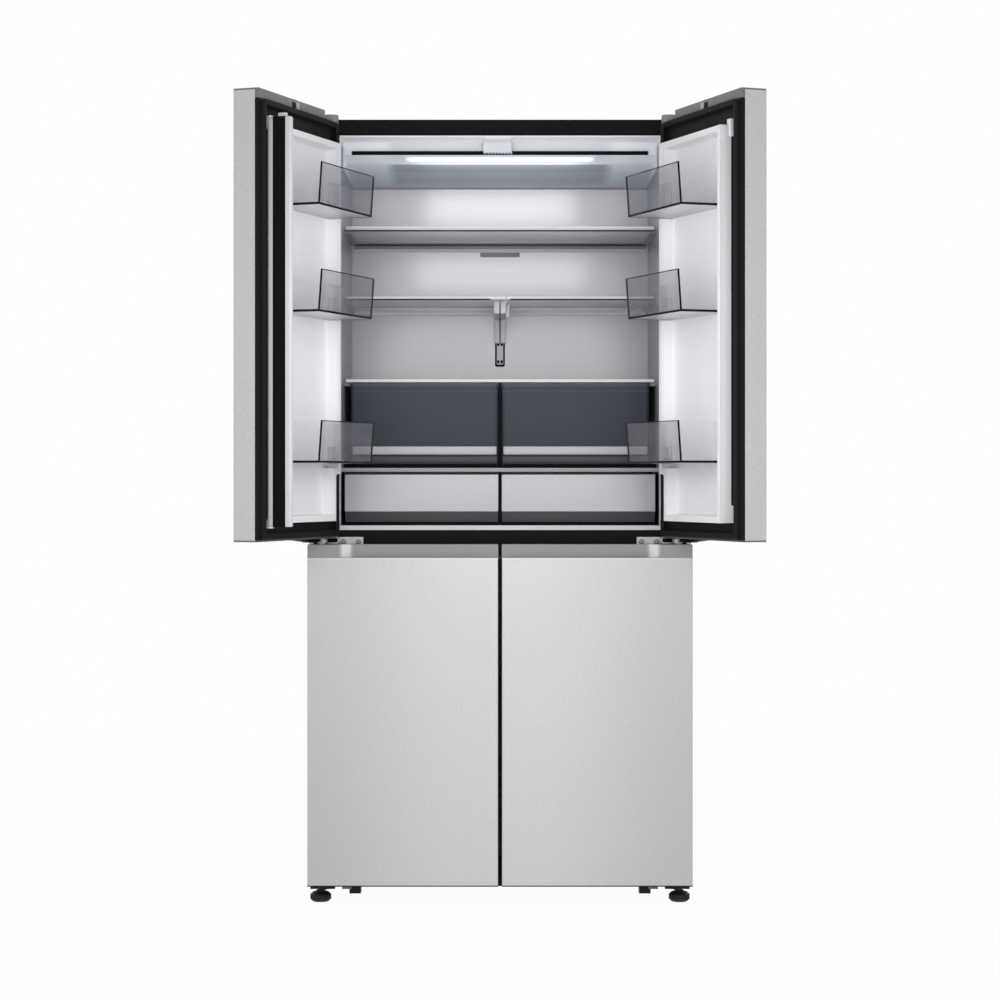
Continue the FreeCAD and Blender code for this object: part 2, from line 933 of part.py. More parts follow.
def make_freezer_drawers():
    """Three fixed-place drawers in each freezer bay, the low one short because of the step."""
    for side, word in ((-1, "left"), (1, "right")):
        across = mirrored(
            side, D.freezer_post + D.slide_gap, D.fridge_half_width - D.slide_gap
        )
        tall = (freezer_ceiling - freezer_step) / 2
        levels = (freezer_floor, freezer_step, freezer_step + tall)
        tops = (freezer_step, freezer_step + tall, freezer_ceiling)
        depths = (D.freezer_low_depth, D.freezer_depth, D.freezer_depth)
        tubs = []
        for number, (low, top, deep) in enumerate(zip(levels, tops, depths)):
            tubs.append(
                open_tub(
                    f"freezer_{word}_tub_{number}",
                    across,
                    (front + D.deck_front, front + deep - D.slide_gap),
                    (low + D.slide_gap, top - D.drawer_corner),
                    D.drawer_corner,
                    D.drawer_wall,
                )
            )
        keep(f"freezer_drawers_{word}", group(f"freezer_drawers_{word}", *tubs))


# Doors, drawn closed about their own hinge axis: u runs towards the free end, v runs inwards


class DoorSide:
    """One hand of door: turns u and v into the hinge's own axes and holds the place on the cabinet."""

    def __init__(self, word, hand):
        self.word = word
        self.hand = hand

    def across(self, low, high):
        """A span along u."""
        return (low, high) if self.hand > 0 else (-high, -low)

    def inward(self, low, high):
        """A span along v, from the door's front face."""
        return (low - D.hinge_back, high - D.hinge_back)

    def hang(self, node, obj, opened):
        """Names a door piece and puts its hinge axis in place, with the door opened or closed."""
        axis = FreeCAD.Vector(0, 0, -self.hand)
        locate(obj, -self.hand * hinge_x, hinge_y, ZERO, axis, D.open_angle if opened else ZERO)
        keep(node, obj)


SIDES = (DoorSide("left", 1), DoorSide("right", -1))
door_start = -D.hinge_inset
seal_face = D.door_stack - D.seal_gap
flange_face = D.door_shell + D.door_flange
bore_radius = D.pin_radius + D.pin_clearance
# The pillar's pivot: behind both closed doors the pillar is centred on the gap between them
pivot_u = hinge_x - D.pillar_width / 2 + D.pillar_pivot_in
pivot_v = D.door_stack + D.pillar_pivot_in


def door_block(name, side, z):
    """A block over a door's whole width and thickness, with rounded upright edges at the front."""
    body = new_body(name)
    plan = sketch_on(body, f"{name}_plan", "XY_Plane", z[0])
    rectangle(plan, side.across(door_start, free_end), side.inward(ZERO * D.door_shell, D.door_shell))
    block = pad(body, plan, z[1] - z[0])
    face_y = -number_of(D.hinge_back)
    round_upright_edges(body, block, D.door_edge_radius, lambda x, y: abs(y - face_y) < TOUCH)
    return body


def door_skin(name, side, z):
    """The folded steel skin of a door: a tray that is open at the back."""
    body = door_block(name, side, z)
    back = sketch_on(body, f"{name}_back", "XZ_Plane", D.hinge_back - D.door_shell)
    rectangle(
        back,
        side.across(door_start + D.steel, free_end - D.steel),
        (z[0] + D.steel, z[1] - D.steel),
    )
    pocket(body, back, D.door_shell - D.steel, reverse=True)
    return body


def door_core(name, side, z):
    """The foam that fills a door's skin."""
    return box(
        name,
        side.across(door_start + D.steel, free_end - D.steel),
        side.inward(D.steel, D.door_shell),
        (z[0] + D.steel, z[1] - D.steel),
    )


def bore(body, name, z, depth, upward):
    """The hole in a door that a hinge pin turns in."""
    mouth = sketch_on(body, name, "XY_Plane", z)
    circle(mouth, ZERO, ZERO, bore_radius)
    pocket(body, mouth, depth, reverse=upward)


def seal_ring(name, side, u, z):
    """A black flange plate on the door's back and the hollow seal standing on it, as one moulding."""
    ring = box(
        f"{name}_ring_block",
        side.across(u[0], u[1]),
        side.inward(flange_face, seal_face),
        z,
    )
    middle = box(
        f"{name}_ring_middle",
        side.across(u[0] + D.seal_width, u[1] - D.seal_width),
        side.inward(D.door_shell, D.door_stack),
        (z[0] + D.seal_low_width, z[1] - D.seal_width),
    )
    return cut(f"{name}_ring", ring, middle)


def hinge_clear(name, side, z):
    """Room in the top of a door for the hinge arm over the whole swing."""
    return box(
        name,
        side.across(2 * door_start, D.hinge_notch_width),
        side.inward(D.hinge_skin, 2 * D.door_stack),
        z,
    )


def make_upper_door(side):
    word = side.word
    shell_low = upper_door_bottom + D.cap_plate
    shell_top = upper_door_top - D.cap_plate
    notch_low = shell_top - D.hinge_notch

    shell = door_skin(f"upper_{word}_skin", side, (shell_low, shell_top))
    notch = sketch_on(shell, f"upper_{word}_notch", "XY_Plane", shell_top)
    rectangle(
        notch,
        side.across(2 * door_start, D.hinge_notch_width),
        side.inward(D.hinge_skin, 2 * D.door_shell),
    )
    pocket(shell, notch, D.hinge_notch)
    bore(shell, f"upper_{word}_low_bore", shell_low, D.pin_reach, upward=True)
    side.hang(f"upper_{word}_door_shell", shell, opened=True)

    # Grey end caps: a top plate with a lip on the inside, and a bottom plate with the pin hole
    cap_x = side.across(door_start + D.door_reveal, free_end - D.door_reveal)
    top_plate = box(
        f"upper_{word}_cap_top",
        cap_x,
        side.inward(D.door_reveal, D.door_shell),
        (shell_top, upper_door_top),
    )
    lip = box(
        f"upper_{word}_cap_lip",
        side.across(door_start + D.flange_inset, free_end - D.door_reveal),
        side.inward(D.door_shell, flange_face),
        (upper_door_top - D.cap_lip, upper_door_top),
    )
    top_cap = cut(
        f"upper_{word}_cap",
        fuse(f"upper_{word}_cap_whole", top_plate, lip),
        hinge_clear(f"upper_{word}_cap_room", side, (notch_low, upper_door_top + D.cap_plate)),
    )
    low_plate = box(
        f"upper_{word}_cap_low",
        cap_x,
        side.inward(D.door_reveal, D.door_shell),
        (upper_door_bottom, shell_low),
    )
    pin_hole = cylinder(
        f"upper_{word}_cap_hole",
        bore_radius,
        3 * D.cap_plate,
        ZERO,
        ZERO,
        upper_door_bottom - D.cap_plate,
    )
    low_cap = cut(f"upper_{word}_cap_under", low_plate, pin_hole)
    caps = group(f"upper_{word}_caps", top_cap, low_cap)
    side.hang(f"upper_{word}_door_caps", caps, opened=True)

    # Foam core bonded to the white inner liner: a raised dyke round a shallow well, cut away low on the
    # hinge side for the drawers
    dyke_end = free_end - (D.pillar_side_room if side.hand > 0 else D.dyke_free_side)
    dyke_u = (hinge_x - D.fridge_half_width + D.dyke_side_gap, dyke_end)
    dyke_z = (dyke_bottom, dyke_top)
    step_level = deck_level - D.dyke_step_drop
    dyke = cut(
        f"upper_{word}_dyke",
        box(
            f"upper_{word}_dyke_block",
            side.across(*dyke_u),
            side.inward(D.door_shell, D.dyke_height),
            dyke_z,
        ),
        box(
            f"upper_{word}_dyke_step",
            side.across(dyke_u[0] - D.dyke_rim, dyke_u[0] + D.dyke_step_width),
            side.inward(ZERO * D.door_shell, 2 * D.dyke_height),
            (dyke_z[0] - D.dyke_rim, step_level),
        ),
    )
    well = cut(
        f"upper_{word}_well",
        box(
            f"upper_{word}_well_block",
            side.across(dyke_u[0] + D.dyke_rim, dyke_u[1] - D.dyke_rim),
            side.inward(D.dyke_floor, 2 * D.dyke_height),
            (dyke_z[0] + D.dyke_rim, dyke_z[1] - D.dyke_rim),
        ),
        box(
            f"upper_{word}_well_step",
            side.across(dyke_u[0], dyke_u[0] + D.dyke_step_width + D.dyke_rim),
            side.inward(ZERO * D.door_shell, 3 * D.dyke_height),
            (dyke_z[0], step_level + D.dyke_rim),
        ),
    )
    core = door_core(f"upper_{word}_core", side, (shell_low, shell_top))
    liner = cut(
        f"upper_{word}_liner",
        fuse(f"upper_{word}_liner_block", core, dyke),
        well,
        hinge_clear(f"upper_{word}_core_room", side, (notch_low, upper_door_top)),
        cylinder(f"upper_{word}_core_top", bore_radius, 2 * D.pin_reach, ZERO, ZERO, notch_low - D.pin_reach),
        cylinder(f"upper_{word}_core_low", bore_radius, D.pin_reach, ZERO, ZERO, shell_low),
    )
    if side.hand > 0:
        liner = fuse(f"upper_{word}_liner_whole", liner, *pillar_brackets(side, dyke_end))
    side.hang(f"upper_{word}_door_liner", liner, opened=True)

    # Black flange and seal
    flange_z = (shell_low, upper_door_top - D.cap_lip)
    flange = cut(
        f"upper_{word}_flange",
        box(
            f"upper_{word}_flange_block",
            side.across(door_start + D.flange_inset, free_end - D.door_reveal),
            side.inward(D.door_shell, flange_face),
            flange_z,
        ),
        dyke,
        hinge_clear(f"upper_{word}_flange_room", side, (notch_low, upper_door_top)),
    )
    ring = seal_ring(
        f"upper_{word}",
        side,
        (D.seal_hinge_side, free_end - D.door_reveal),
        (shell_low, liner_top + D.seal_width),
    )
    pieces = [flange, ring]
    if side.hand < 0:
        strip_u = (dyke_end, dyke_end + D.strip_width)
        pieces.append(
            box(
                f"upper_{word}_strip",
                side.across(*strip_u),
                side.inward(flange_face, flange_face + D.strip_depth),
                (dyke_bottom + D.strip_margin, dyke_top - D.strip_margin),
            )
        )
    side.hang(f"upper_{word}_door_seal", fuse(f"upper_{word}_seal", *pieces), opened=True)

    # Three bins between the dyke walls
    bin_side = D.dyke_rim + D.bin_side_gap
    bin_u = (dyke_u[0] + bin_side, free_end - D.pillar_side_room - bin_side)
    bins = []
    dyke_run = dyke_top - dyke_bottom
    levels = (
        dyke_bottom + D.bin_high_share * dyke_run,
        dyke_bottom + D.bin_middle_share * dyke_run,
        deck_level + D.bin_deck_gap,
    )
    for number, level in enumerate(levels):
        bins.append(
            open_tub(
                f"upper_{word}_bin_{number}",
                side.across(*bin_u),
                side.inward(D.dyke_floor + D.slide_gap, D.bin_reach),
                (level, level + D.bin_height),
                D.bin_corner,
                D.bin_wall,
            )
        )
    side.hang(f"upper_{word}_door_bins", group(f"upper_{word}_bins", *bins), opened=True)


def pillar_brackets(side, dyke_end):
    """Two small brackets on the left door's liner whose pins carry the folding pillar at its ends."""
    pieces = []
    bracket_end = free_end - D.door_reveal - D.seal_width - D.slide_gap
    ends = (
        ("top", pillar_top + D.slide_gap, 1, dyke_top),
        ("low", pillar_bottom - D.slide_gap, -1, dyke_bottom),
    )
    for word, seat, outward, root in ends:
        arm_z = sorted((seat, seat + outward * D.bracket_arm), key=number_of)
        plate_z = sorted((root - outward * D.bracket_root, seat + outward * D.bracket_arm), key=number_of)
        pin_z = sorted((seat + outward * D.bracket_arm, seat - outward * D.pivot_pin_length), key=number_of)
        plate_v = side.inward(flange_face, flange_face + D.bracket_plate)
        plate_u = side.across(dyke_end - D.bracket_root, bracket_end)
        pieces.append(box(f"bracket_plate_{word}", plate_u, plate_v, plate_z))
        arm_u = side.across(pivot_u - D.bracket_width, bracket_end)
        arm_v = side.inward(flange_face, pivot_v + D.pillar_pivot_in)
        pieces.append(box(f"bracket_arm_{word}", arm_u, arm_v, arm_z))
        spot = (side.across(pivot_u, pivot_u)[0], pivot_v - D.hinge_back)
        head = cylinder(f"bracket_head_{word}", D.pillar_pivot_in, D.bracket_arm, *spot, arm_z[0])
        pin = cylinder(f"bracket_pin_{word}", D.pivot_pin_radius, pin_z[1] - pin_z[0], *spot, pin_z[0])
        pieces.extend((head, pin))
    return pieces


def make_pillar(side):
    """The centre pillar, folded along the free edge of the open left door with its strip facing outwards."""
    face_u = pivot_u + D.pillar_pivot_in
    back_u = face_u - D.pillar_thickness
    start_v = pivot_v - D.pillar_pivot_in
    body = new_body("pillar_block")
    plan = sketch_on(body, "pillar_plan", "XY_Plane", pillar_bottom)
    rectangle(plan, side.across(back_u, face_u), side.inward(start_v, start_v + D.pillar_width))
    block = pad(body, plan, pillar_top - pillar_bottom)
    face_x = side.across(back_u, face_u)[1].value
    round_upright_edges(body, block, D.pillar_pivot_in, lambda x, y: abs(x - face_x) < TOUCH)
    seat = sketch_on(body, "pillar_seat", "XY_Plane", pillar_top)
    strip_v = (
        start_v + (D.pillar_width - D.pillar_strip_width) / 2,
        start_v + (D.pillar_width + D.pillar_strip_width) / 2,
    )
    strip_u = (face_u - D.pillar_strip, face_u)
    rectangle(seat, side.across(strip_u[0], strip_u[1] + D.pillar_strip), side.inward(*strip_v))
    pocket(body, seat, pillar_top - pillar_bottom)
    nub = sketch_on(body, "pillar_nub", "XY_Plane", pillar_top)
    nub_middle = (back_u + strip_u[0]) / 2
    rectangle(
        nub,
        side.across(nub_middle - D.nub_width / 2, nub_middle + D.nub_width / 2),
        side.inward(strip_v[1] - D.nub_length, strip_v[1]),
    )
    pad(body, nub, D.nub_height)
    for word, level, upward in (("top", pillar_top, False), ("low", pillar_bottom, True)):
        hole = sketch_on(body, f"pillar_{word}_hole", "XY_Plane", level)
        spot = (side.across(pivot_u, pivot_u)[0], pivot_v - D.hinge_back)
        circle(hole, *spot, D.pivot_pin_radius + D.pin_clearance)
        pocket(body, hole, D.pivot_pin_length + D.bracket_arm, reverse=upward)
    side.hang("pillar_body", body, opened=True)
    strip = box(
        "pillar_strip_plate",
        side.across(*strip_u),
        side.inward(*strip_v),
        (pillar_bottom, pillar_top),
    )
    side.hang("pillar_strip", group("pillar_strip", strip), opened=True)


def make_lower_door(side):
    word = side.word
    shell_z = (lower_door_bottom, lower_door_top - D.grip_height - D.grip_join)
    shell = door_skin(f"lower_{word}_skin", side, shell_z)
    bore(shell, f"lower_{word}_low_bore", lower_door_bottom, D.pin_reach, upward=True)
    side.hang(f"lower_{word}_door_shell", shell, opened=False)

    # Pull grip along the top edge: set back behind the front skin, with a slanted end at the hinge side
    # and a finger trough that hangs down inside the skin
    grip_low = shell_z[1]
    grip = door_block(f"lower_{word}_grip_block", side, (grip_low, lower_door_top))
    recess = sketch_on(grip, f"lower_{word}_recess", "XY_Plane", lower_door_top)
    recess_back = D.grip_recess - D.hinge_back
    recess_front = -D.trough_wall - D.hinge_back
    slant = D.grip_start + D.grip_slant
    corners = [
        (D.grip_start, recess_front),
        (slant, recess_back),
        (free_end + D.trough_wall, recess_back),
        (free_end + D.trough_wall, recess_front),
    ]
    outline(recess, [(side.across(u, u)[0], v) for u, v in corners])
    pocket(grip, recess, D.grip_height + D.grip_join)
    trough_u = (slant, free_end - D.trough_end)
    trough_v = (D.trough_front, D.grip_recess + D.trough_wall)
    trough = sketch_on(grip, f"lower_{word}_trough", "XY_Plane", grip_low - D.trough_depth)
    rectangle(trough, side.across(*trough_u), side.inward(*trough_v))
    pad(grip, trough, D.trough_depth)
    mouth = sketch_on(grip, f"lower_{word}_trough_mouth", "XY_Plane", grip_low)
    rectangle(
        mouth,
        side.across(trough_u[0] + D.trough_wall, trough_u[1] - D.trough_wall),
        side.inward(D.trough_front + D.trough_wall, D.grip_recess),
    )
    pocket(grip, mouth, D.trough_depth - D.trough_wall)
    bore(grip, f"lower_{word}_top_bore", lower_door_top, D.grip_height - D.cap_plate, upward=False)
    side.hang(f"lower_{word}_door_grip", grip, opened=False)
    slot = sketch_on(shell, f"lower_{word}_trough_slot", "XY_Plane", grip_low)
    rectangle(slot, side.across(*trough_u), side.inward(*trough_v))
    pocket(shell, slot, D.trough_depth)
    trough_room = box(
        f"lower_{word}_trough_room",
        side.across(*trough_u),
        side.inward(*trough_v),
        (grip_low - D.trough_depth, grip_low),
    )

    # Foam core bonded to the inner panel inside the seal
    panel_start = hinge_x - D.fridge_half_width + D.panel_side_gap
    panel_u = (panel_start, free_end - D.inner_panel_margin)
    panel_z = (freezer_floor + D.drawer_corner, freezer_ceiling - D.drawer_corner)
    panel = box(
        f"lower_{word}_panel",
        side.across(*panel_u),
        side.inward(D.door_shell, D.door_stack + D.inner_panel_height),
        panel_z,
    )
    well = box(
        f"lower_{word}_panel_well",
        side.across(panel_u[0] + D.dyke_rim, panel_u[1] - D.dyke_rim),
        side.inward(D.door_stack, D.door_stack + 2 * D.inner_panel_height),
        (panel_z[0] + D.dyke_rim, panel_z[1] - D.dyke_rim),
    )
    core = door_core(f"lower_{word}_core", side, shell_z)
    liner = cut(
        f"lower_{word}_liner",
        fuse(f"lower_{word}_liner_block", core, panel),
        well,
        trough_room,
        cylinder(f"lower_{word}_core_low", bore_radius, D.pin_reach, ZERO, ZERO, lower_door_bottom),
    )
    side.hang(f"lower_{word}_door_liner", liner, opened=False)
    flange = cut(
        f"lower_{word}_flange",
        box(
            f"lower_{word}_flange_block",
            side.across(door_start + D.flange_inset, free_end - D.door_reveal),
            side.inward(D.door_shell, flange_face),
            (lower_door_bottom + D.cap_plate, lower_door_top - D.cap_plate),
        ),
        panel,
    )
    ring = seal_ring(
        f"lower_{word}",
        side,
        (D.seal_hinge_side, free_end - D.door_reveal),
        (
            freezer_floor - 2 * D.seal_width,
            lower_door_top - D.cap_plate,
        ),
    )
    side.hang(f"lower_{word}_door_seal", fuse(f"lower_{word}_seal", flange, ring), opened=False)


# Hinges, feet, rollers


def hinge_arm(name, side, z, inner, flange_height):
    """A flat arm from the front frame to the hinge axis with a round end, and its fixing flange."""
    x = -side.hand * hinge_x
    arm = box(
        f"{name}_arm",
        (x - D.arm_half_width, x + D.arm_half_width),
        (hinge_y, front),
        z,
    )
    nose = cylinder(f"{name}_nose", D.arm_half_width, z[1] - z[0], x, hinge_y, z[0])
    flange_x = mirrored(-side.hand, inner, hinge_x + D.arm_half_width)
    middle = (z[0] + z[1]) / 2
    flange = box(
        f"{name}_flange",
        flange_x,
        (front - D.hinge_flange, front),
        (middle - flange_height / 2, middle + flange_height / 2),
    )
    return [arm, nose, flange]


def hinge_knuckle(name, side, arm_z):
    """The rounded cover beside a top hinge arm, in the door's notch."""
    body = new_body(name)
    plan = sketch_on(body, f"{name}_plan", "XY_Plane", arm_z[0] - D.knuckle_drop)
    across = mirrored(-side.hand, hinge_x - D.knuckle_reach, hinge_x)
    rectangle(plan, across, (hinge_y + D.knuckle_front, front))
    block = pad(body, plan, D.knuckle_height)
    tip = number_of(hinge_x - D.knuckle_reach)
    round_upright_edges(body, block, D.knuckle_radius, lambda x, y: abs(abs(x) - tip) < TOUCH)
    return body


def hinge_pin(name, side, low, high):
    return cylinder(name, D.pin_radius, high - low, -side.hand * hinge_x, hinge_y, low)


def make_hinges():
    shell_top = upper_door_top - D.cap_plate
    notch_low = shell_top - D.hinge_notch
    arm_low = notch_low + (D.hinge_notch - D.arm_plate) / 2
    top_z = (arm_low, arm_low + D.arm_plate)
    gap_middle = (upper_door_bottom + lower_door_top) / 2
    mid_z = (gap_middle - D.arm_plate / 2, gap_middle + D.arm_plate / 2)
    low_top = lower_door_bottom - D.low_gap
    low_z = (low_top - D.arm_plate, low_top)
    reach = D.pin_length
    tops, mids, lows = [], [], []
    for side in SIDES:
        word = side.word
        pin = hinge_pin(f"top_pin_{word}", side, notch_low - reach, top_z[1])
        inner = hinge_x - 2 * D.arm_half_width
        arm = hinge_arm(f"top_{word}", side, top_z, inner, D.hinge_flange_height)
        knuckle = hinge_knuckle(f"top_knuckle_{word}", side, top_z)
        tops.append(fuse(f"top_hinge_{word}", *arm, pin, knuckle))
        pin = hinge_pin(
            f"mid_pin_{word}",
            side,
            lower_door_top - D.mid_pin_drop,
            upper_door_bottom + D.cap_plate + reach,
        )
        arm = hinge_arm(f"mid_{word}", side, mid_z, D.mid_flange_inner, D.mid_flange_height)
        mids.append(fuse(f"mid_hinge_{word}", *arm, pin))
        lows.append(make_bottom_hinge(side, low_z, reach))
    keep("top_hinges", group("top_hinges", *tops))
    keep("mid_hinges", group("mid_hinges", *mids))
    keep("bottom_hinges", group("bottom_hinges", *lows))


def make_bottom_hinge(side, z, reach):
    """The low bracket carries the lower door on its pin and takes the levelling foot's stem."""
    word = side.word
    x = -side.hand * hinge_x
    foot_x = -side.hand * foot_side
    across = (x - D.low_plate_half, x + D.low_plate_half)
    plate = box(f"low_{word}_plate", across, (hinge_y, front + D.foot_setback), z)
    nose = cylinder(f"low_{word}_nose", D.arm_half_width, z[1] - z[0], x, hinge_y, z[0])
    riser = box(
        f"low_{word}_riser",
        across,
        (front + D.frame_plate, front + D.foot_setback),
        (z[1], D.base_height),
    )
    pin = hinge_pin(f"low_pin_{word}", side, z[0], lower_door_bottom + reach)
    whole = fuse(f"low_{word}_whole", plate, nose, riser, pin)
    hole = cylinder(
        f"low_{word}_hole",
        D.stem_radius + D.pin_clearance,
        3 * D.arm_plate,
        foot_x,
        front - D.foot_setback,
        z[0] - D.arm_plate,
    )
    return cut(f"bottom_hinge_{word}", whole, hole)


def turned(name, profile):
    """A turned piece: its half profile, radius against height, revolved about the upright axis."""
    body = new_body(name)
    half = sketch_on(body, f"{name}_half", "XZ_Plane")
    outline(half, profile)
    spin = body.newObject("PartDesign::Revolution", f"{name}_spin")
    spin.Profile = half
    spin.ReferenceAxis = (half, ["V_Axis"])
    spin.Angle = FULL_TURN
    return body


def make_feet_and_rollers():
    nothing = ZERO * D.foot_height
    for side in SIDES:
        stem_top = lower_door_bottom - D.low_gap - D.slide_gap
        profile = [
            (nothing, nothing),
            (D.foot_radius - D.foot_chamfer, nothing),
            (D.foot_radius, D.foot_chamfer),
            (D.foot_radius, D.foot_height - D.foot_chamfer),
            (D.foot_radius - D.foot_chamfer, D.foot_height),
            (D.foot_neck_radius, D.foot_height),
            (D.foot_neck_radius, D.foot_height + D.foot_neck),
            (D.stem_radius, D.foot_height + D.foot_neck),
            (D.stem_radius, stem_top),
            (nothing, stem_top),
        ]
        foot = turned(f"foot_{side.word}", profile)
        locate(foot, -side.hand * foot_side, front - D.foot_setback, ZERO)
        keep(f"front_{side.word}_foot", foot)

        half = D.roller_width / 2
        end = half + D.cheek_gap + D.cheek
        wheel = [
            (nothing, -end),
            (D.axle_radius, -end),
            (D.axle_radius, -half),
            (D.roller_radius - D.cheek / 2, -half),
            (D.roller_radius, D.cheek / 2 - half),
            (D.roller_radius, half - D.cheek / 2),
            (D.roller_radius - D.cheek / 2, half),
            (D.axle_radius, half),
            (D.axle_radius, end),
            (nothing, end),
        ]
        roller = turned(f"roller_{side.word}", wheel)
        spot = (-side.hand * roller_side, rear - D.roller_setback, D.roller_radius)
        locate(roller, *spot, FreeCAD.Vector(0, 1, 0), QUARTER_TURN)
        keep(f"rear_{side.word}_roller", roller)


# Machine compartment at the rear


def make_machine_compartment():
    nothing = ZERO * D.foot_height
    middle_y = (machine_front + rear) / 2
    dome = D.compressor_radius
    low = D.compressor_foot
    high = D.compressor_foot + D.compressor_height
    profile = [
        (nothing, nothing),
        (dome * POT_FOOT, nothing),
        (dome * POT_FOOT, low / 2),
        (dome * POT_NECK, low),
        (dome, low + dome * POT_BELLY),
        (dome, high - dome * POT_SHOULDER),
        (dome * POT_CROWN, high - dome * POT_BROW),
        (dome * POT_CAP, high),
        (nothing, high),
    ]
    pot = turned("compressor_pot", profile)
    locate(pot, compressor_x, middle_y, base_top)
    keep("compressor", pot)

    # Condenser: a row of thin fins threaded on straight tubes
    fins = new_body("condenser_fins")
    tubes_y = (middle_y - D.condenser_depth / 4, middle_y + D.condenser_depth / 4)
    tubes_z = [base_top + D.condenser_height * share for share in TUBE_SHARES]
    tubes = sketch_on(fins, "condenser_tubes", "YZ_Plane", condenser_x - D.condenser_width / 2)
    for y in tubes_y:
        for z in tubes_z:
            circle(tubes, y, z, D.condenser_tube)
    pad(fins, tubes, D.condenser_width)
    fin = sketch_on(fins, "condenser_fin", "YZ_Plane", condenser_x - FIN_COUNT / 2 * D.condenser_pitch)
    rectangle(
        fin,
        (middle_y - D.condenser_depth / 2, middle_y + D.condenser_depth / 2),
        (base_top, base_top + D.condenser_height),
    )
    one_fin = pad(fins, fin, D.condenser_fin)
    doc.recompute()
    row = fins.newObject("PartDesign::LinearPattern", "condenser_row")
    row.Originals = [one_fin]
    row.Direction = (fin, ["N_Axis"])
    row.Occurrences = FIN_COUNT
    bind(row, "Length", (FIN_COUNT - 1) * D.condenser_pitch)
    fins.Tip = row
    keep("condenser", fins)

    make_fan(middle_y)
    make_rear_cover()


def make_fan(middle_y):
    """The condenser fan between compressor and condenser, blowing across, on its motor's shaft."""
    centre_z = base_top + D.fan_radius + D.cheek
    fan = new_body("fan_wheel")
    hub = sketch_on(fan, "fan_hub_plan", "XY_Plane", -D.fan_depth / 2)
    circle(hub, ZERO, ZERO, D.fan_hub)
    pad(fan, hub, D.fan_depth)
    blade = sketch_on(fan, "fan_blade_plan", "YZ_Plane", D.fan_hub * BLADE_ROOT)
    rise = D.fan_depth / 2 - D.fan_blade
    lean = D.fan_twist / 2
    outline(
        blade,
        [
            (-lean, -rise - D.fan_blade / 2),
            (-lean + D.fan_blade, -rise - D.fan_blade / 2),
            (lean, rise + D.fan_blade / 2),
            (lean - D.fan_blade, rise + D.fan_blade / 2),
        ],
    )
    one_blade = pad(fan, blade, D.fan_radius * BLADE_TIP - D.fan_hub * BLADE_ROOT)
    doc.recompute()
    wheel = fan.newObject("PartDesign::PolarPattern", "fan_blades")
    wheel.Originals = [one_blade]
    wheel.Axis = (hub, ["N_Axis"])
    wheel.Angle = FULL_TURN
    wheel.Occurrences = FAN_BLADES
    fan.Tip = wheel
    doc.recompute()
    eye = sketch_on(fan, "fan_eye", "XY_Plane", D.fan_depth / 2)
    circle(eye, ZERO, ZERO, D.fan_shaft + D.pin_clearance)
    pocket(fan, eye, D.fan_depth)
    locate(fan, ZERO, middle_y, centre_z, FreeCAD.Vector(0, 1, 0), QUARTER_TURN)
    keep("condenser_fan", fan)

    # Motor with its shaft and a stand on the base
    motor_x = -D.fan_depth / 2 - D.fan_gap
    can = cylinder(
        "fan_motor_can",
        D.fan_motor_radius,
        D.fan_motor_length,
        motor_x - D.fan_motor_length,
        middle_y,
        centre_z,
        lying=True,
    )
    shaft = cylinder(
        "fan_motor_shaft",
        D.fan_shaft,
        D.fan_depth + 2 * D.fan_gap,
        motor_x - D.fan_gap,
        middle_y,
        centre_z,
        lying=True,
    )
    stand = box(
        "fan_motor_stand",
        (motor_x - D.fan_motor_length, motor_x - D.fan_motor_length / 2),
        (middle_y - D.fan_motor_radius / 2, middle_y + D.fan_motor_radius / 2),
        (base_top, centre_z),
    )
    keep("fan_motor", fuse("fan_motor", can, shaft, stand))


def make_rear_cover():
    """The vented sheet that closes the machine compartment."""
    cover = new_body("machine_cover_sheet")
    face = sketch_on(cover, "cover_face", "XZ_Plane", -rear)
    rectangle(face, (-half_width, half_width), (D.base_height, machine_top))
    pad(cover, face, D.steel)
    slot = sketch_on(cover, "cover_slot", "XZ_Plane", D.steel - rear)
    start_x = D.cover_margin - half_width
    start_z = D.base_height + D.cover_margin
    rectangle(
        slot,
        (start_x, start_x + D.cover_slot_width),
        (start_z, start_z + D.cover_slot_height),
    )
    one = pocket(cover, slot, D.steel)
    grid = cover.newObject("PartDesign::MultiTransform", "cover_grid")
    rows = cover.newObject("PartDesign::LinearPattern", "cover_rows")
    rows.Direction = (slot, ["V_Axis"])
    rows.Occurrences = COVER_SLOT_ROWS
    bind(rows, "Length", (COVER_SLOT_ROWS - 1) * D.cover_slot_pitch)
    columns = cover.newObject("PartDesign::LinearPattern", "cover_columns")
    columns.Direction = (slot, ["H_Axis"])
    columns.Occurrences = COVER_SLOT_COLUMNS
    bind(columns, "Length", D.cabinet_width - 2 * D.cover_margin - D.cover_slot_width)
    grid.Originals = [one]
    grid.Transformations = [rows, columns]
    cover.Tip = grid
    keep("machine_cover", cover)


make_cabinet()
make_interior()
make_shelves()
make_drawers()
make_freezer_drawers()
for door_side in SIDES:
    make_upper_door(door_side)
    make_lower_door(door_side)
make_pillar(SIDES[0])
make_hinges()
make_feet_and_rollers()
make_machine_compartment()
doc.recompute()

for item in doc.Objects:
    if "Invalid" in item.State or "Error" in item.State:
        raise RuntimeError(f"{item.Label} failed: {item.State}")
for node, item in nodes.items():
    if item.Shape.isNull() or not item.Shape.isValid():
        raise RuntimeError(f"{node} has no valid shape")

os.makedirs("parts", exist_ok=True)
for node, item in nodes.items():
    item.Shape.exportStep(f"parts/{node}.step")
    print(node, len(item.Shape.Solids), item.Shape.BoundBox)
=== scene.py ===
"""A four-door refrigerator-freezer with its upper doors open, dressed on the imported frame."""

import logging
import math
from dataclasses import dataclass
from enum import Enum
from typing import Any, Callable, ClassVar, Optional, Sequence, Union

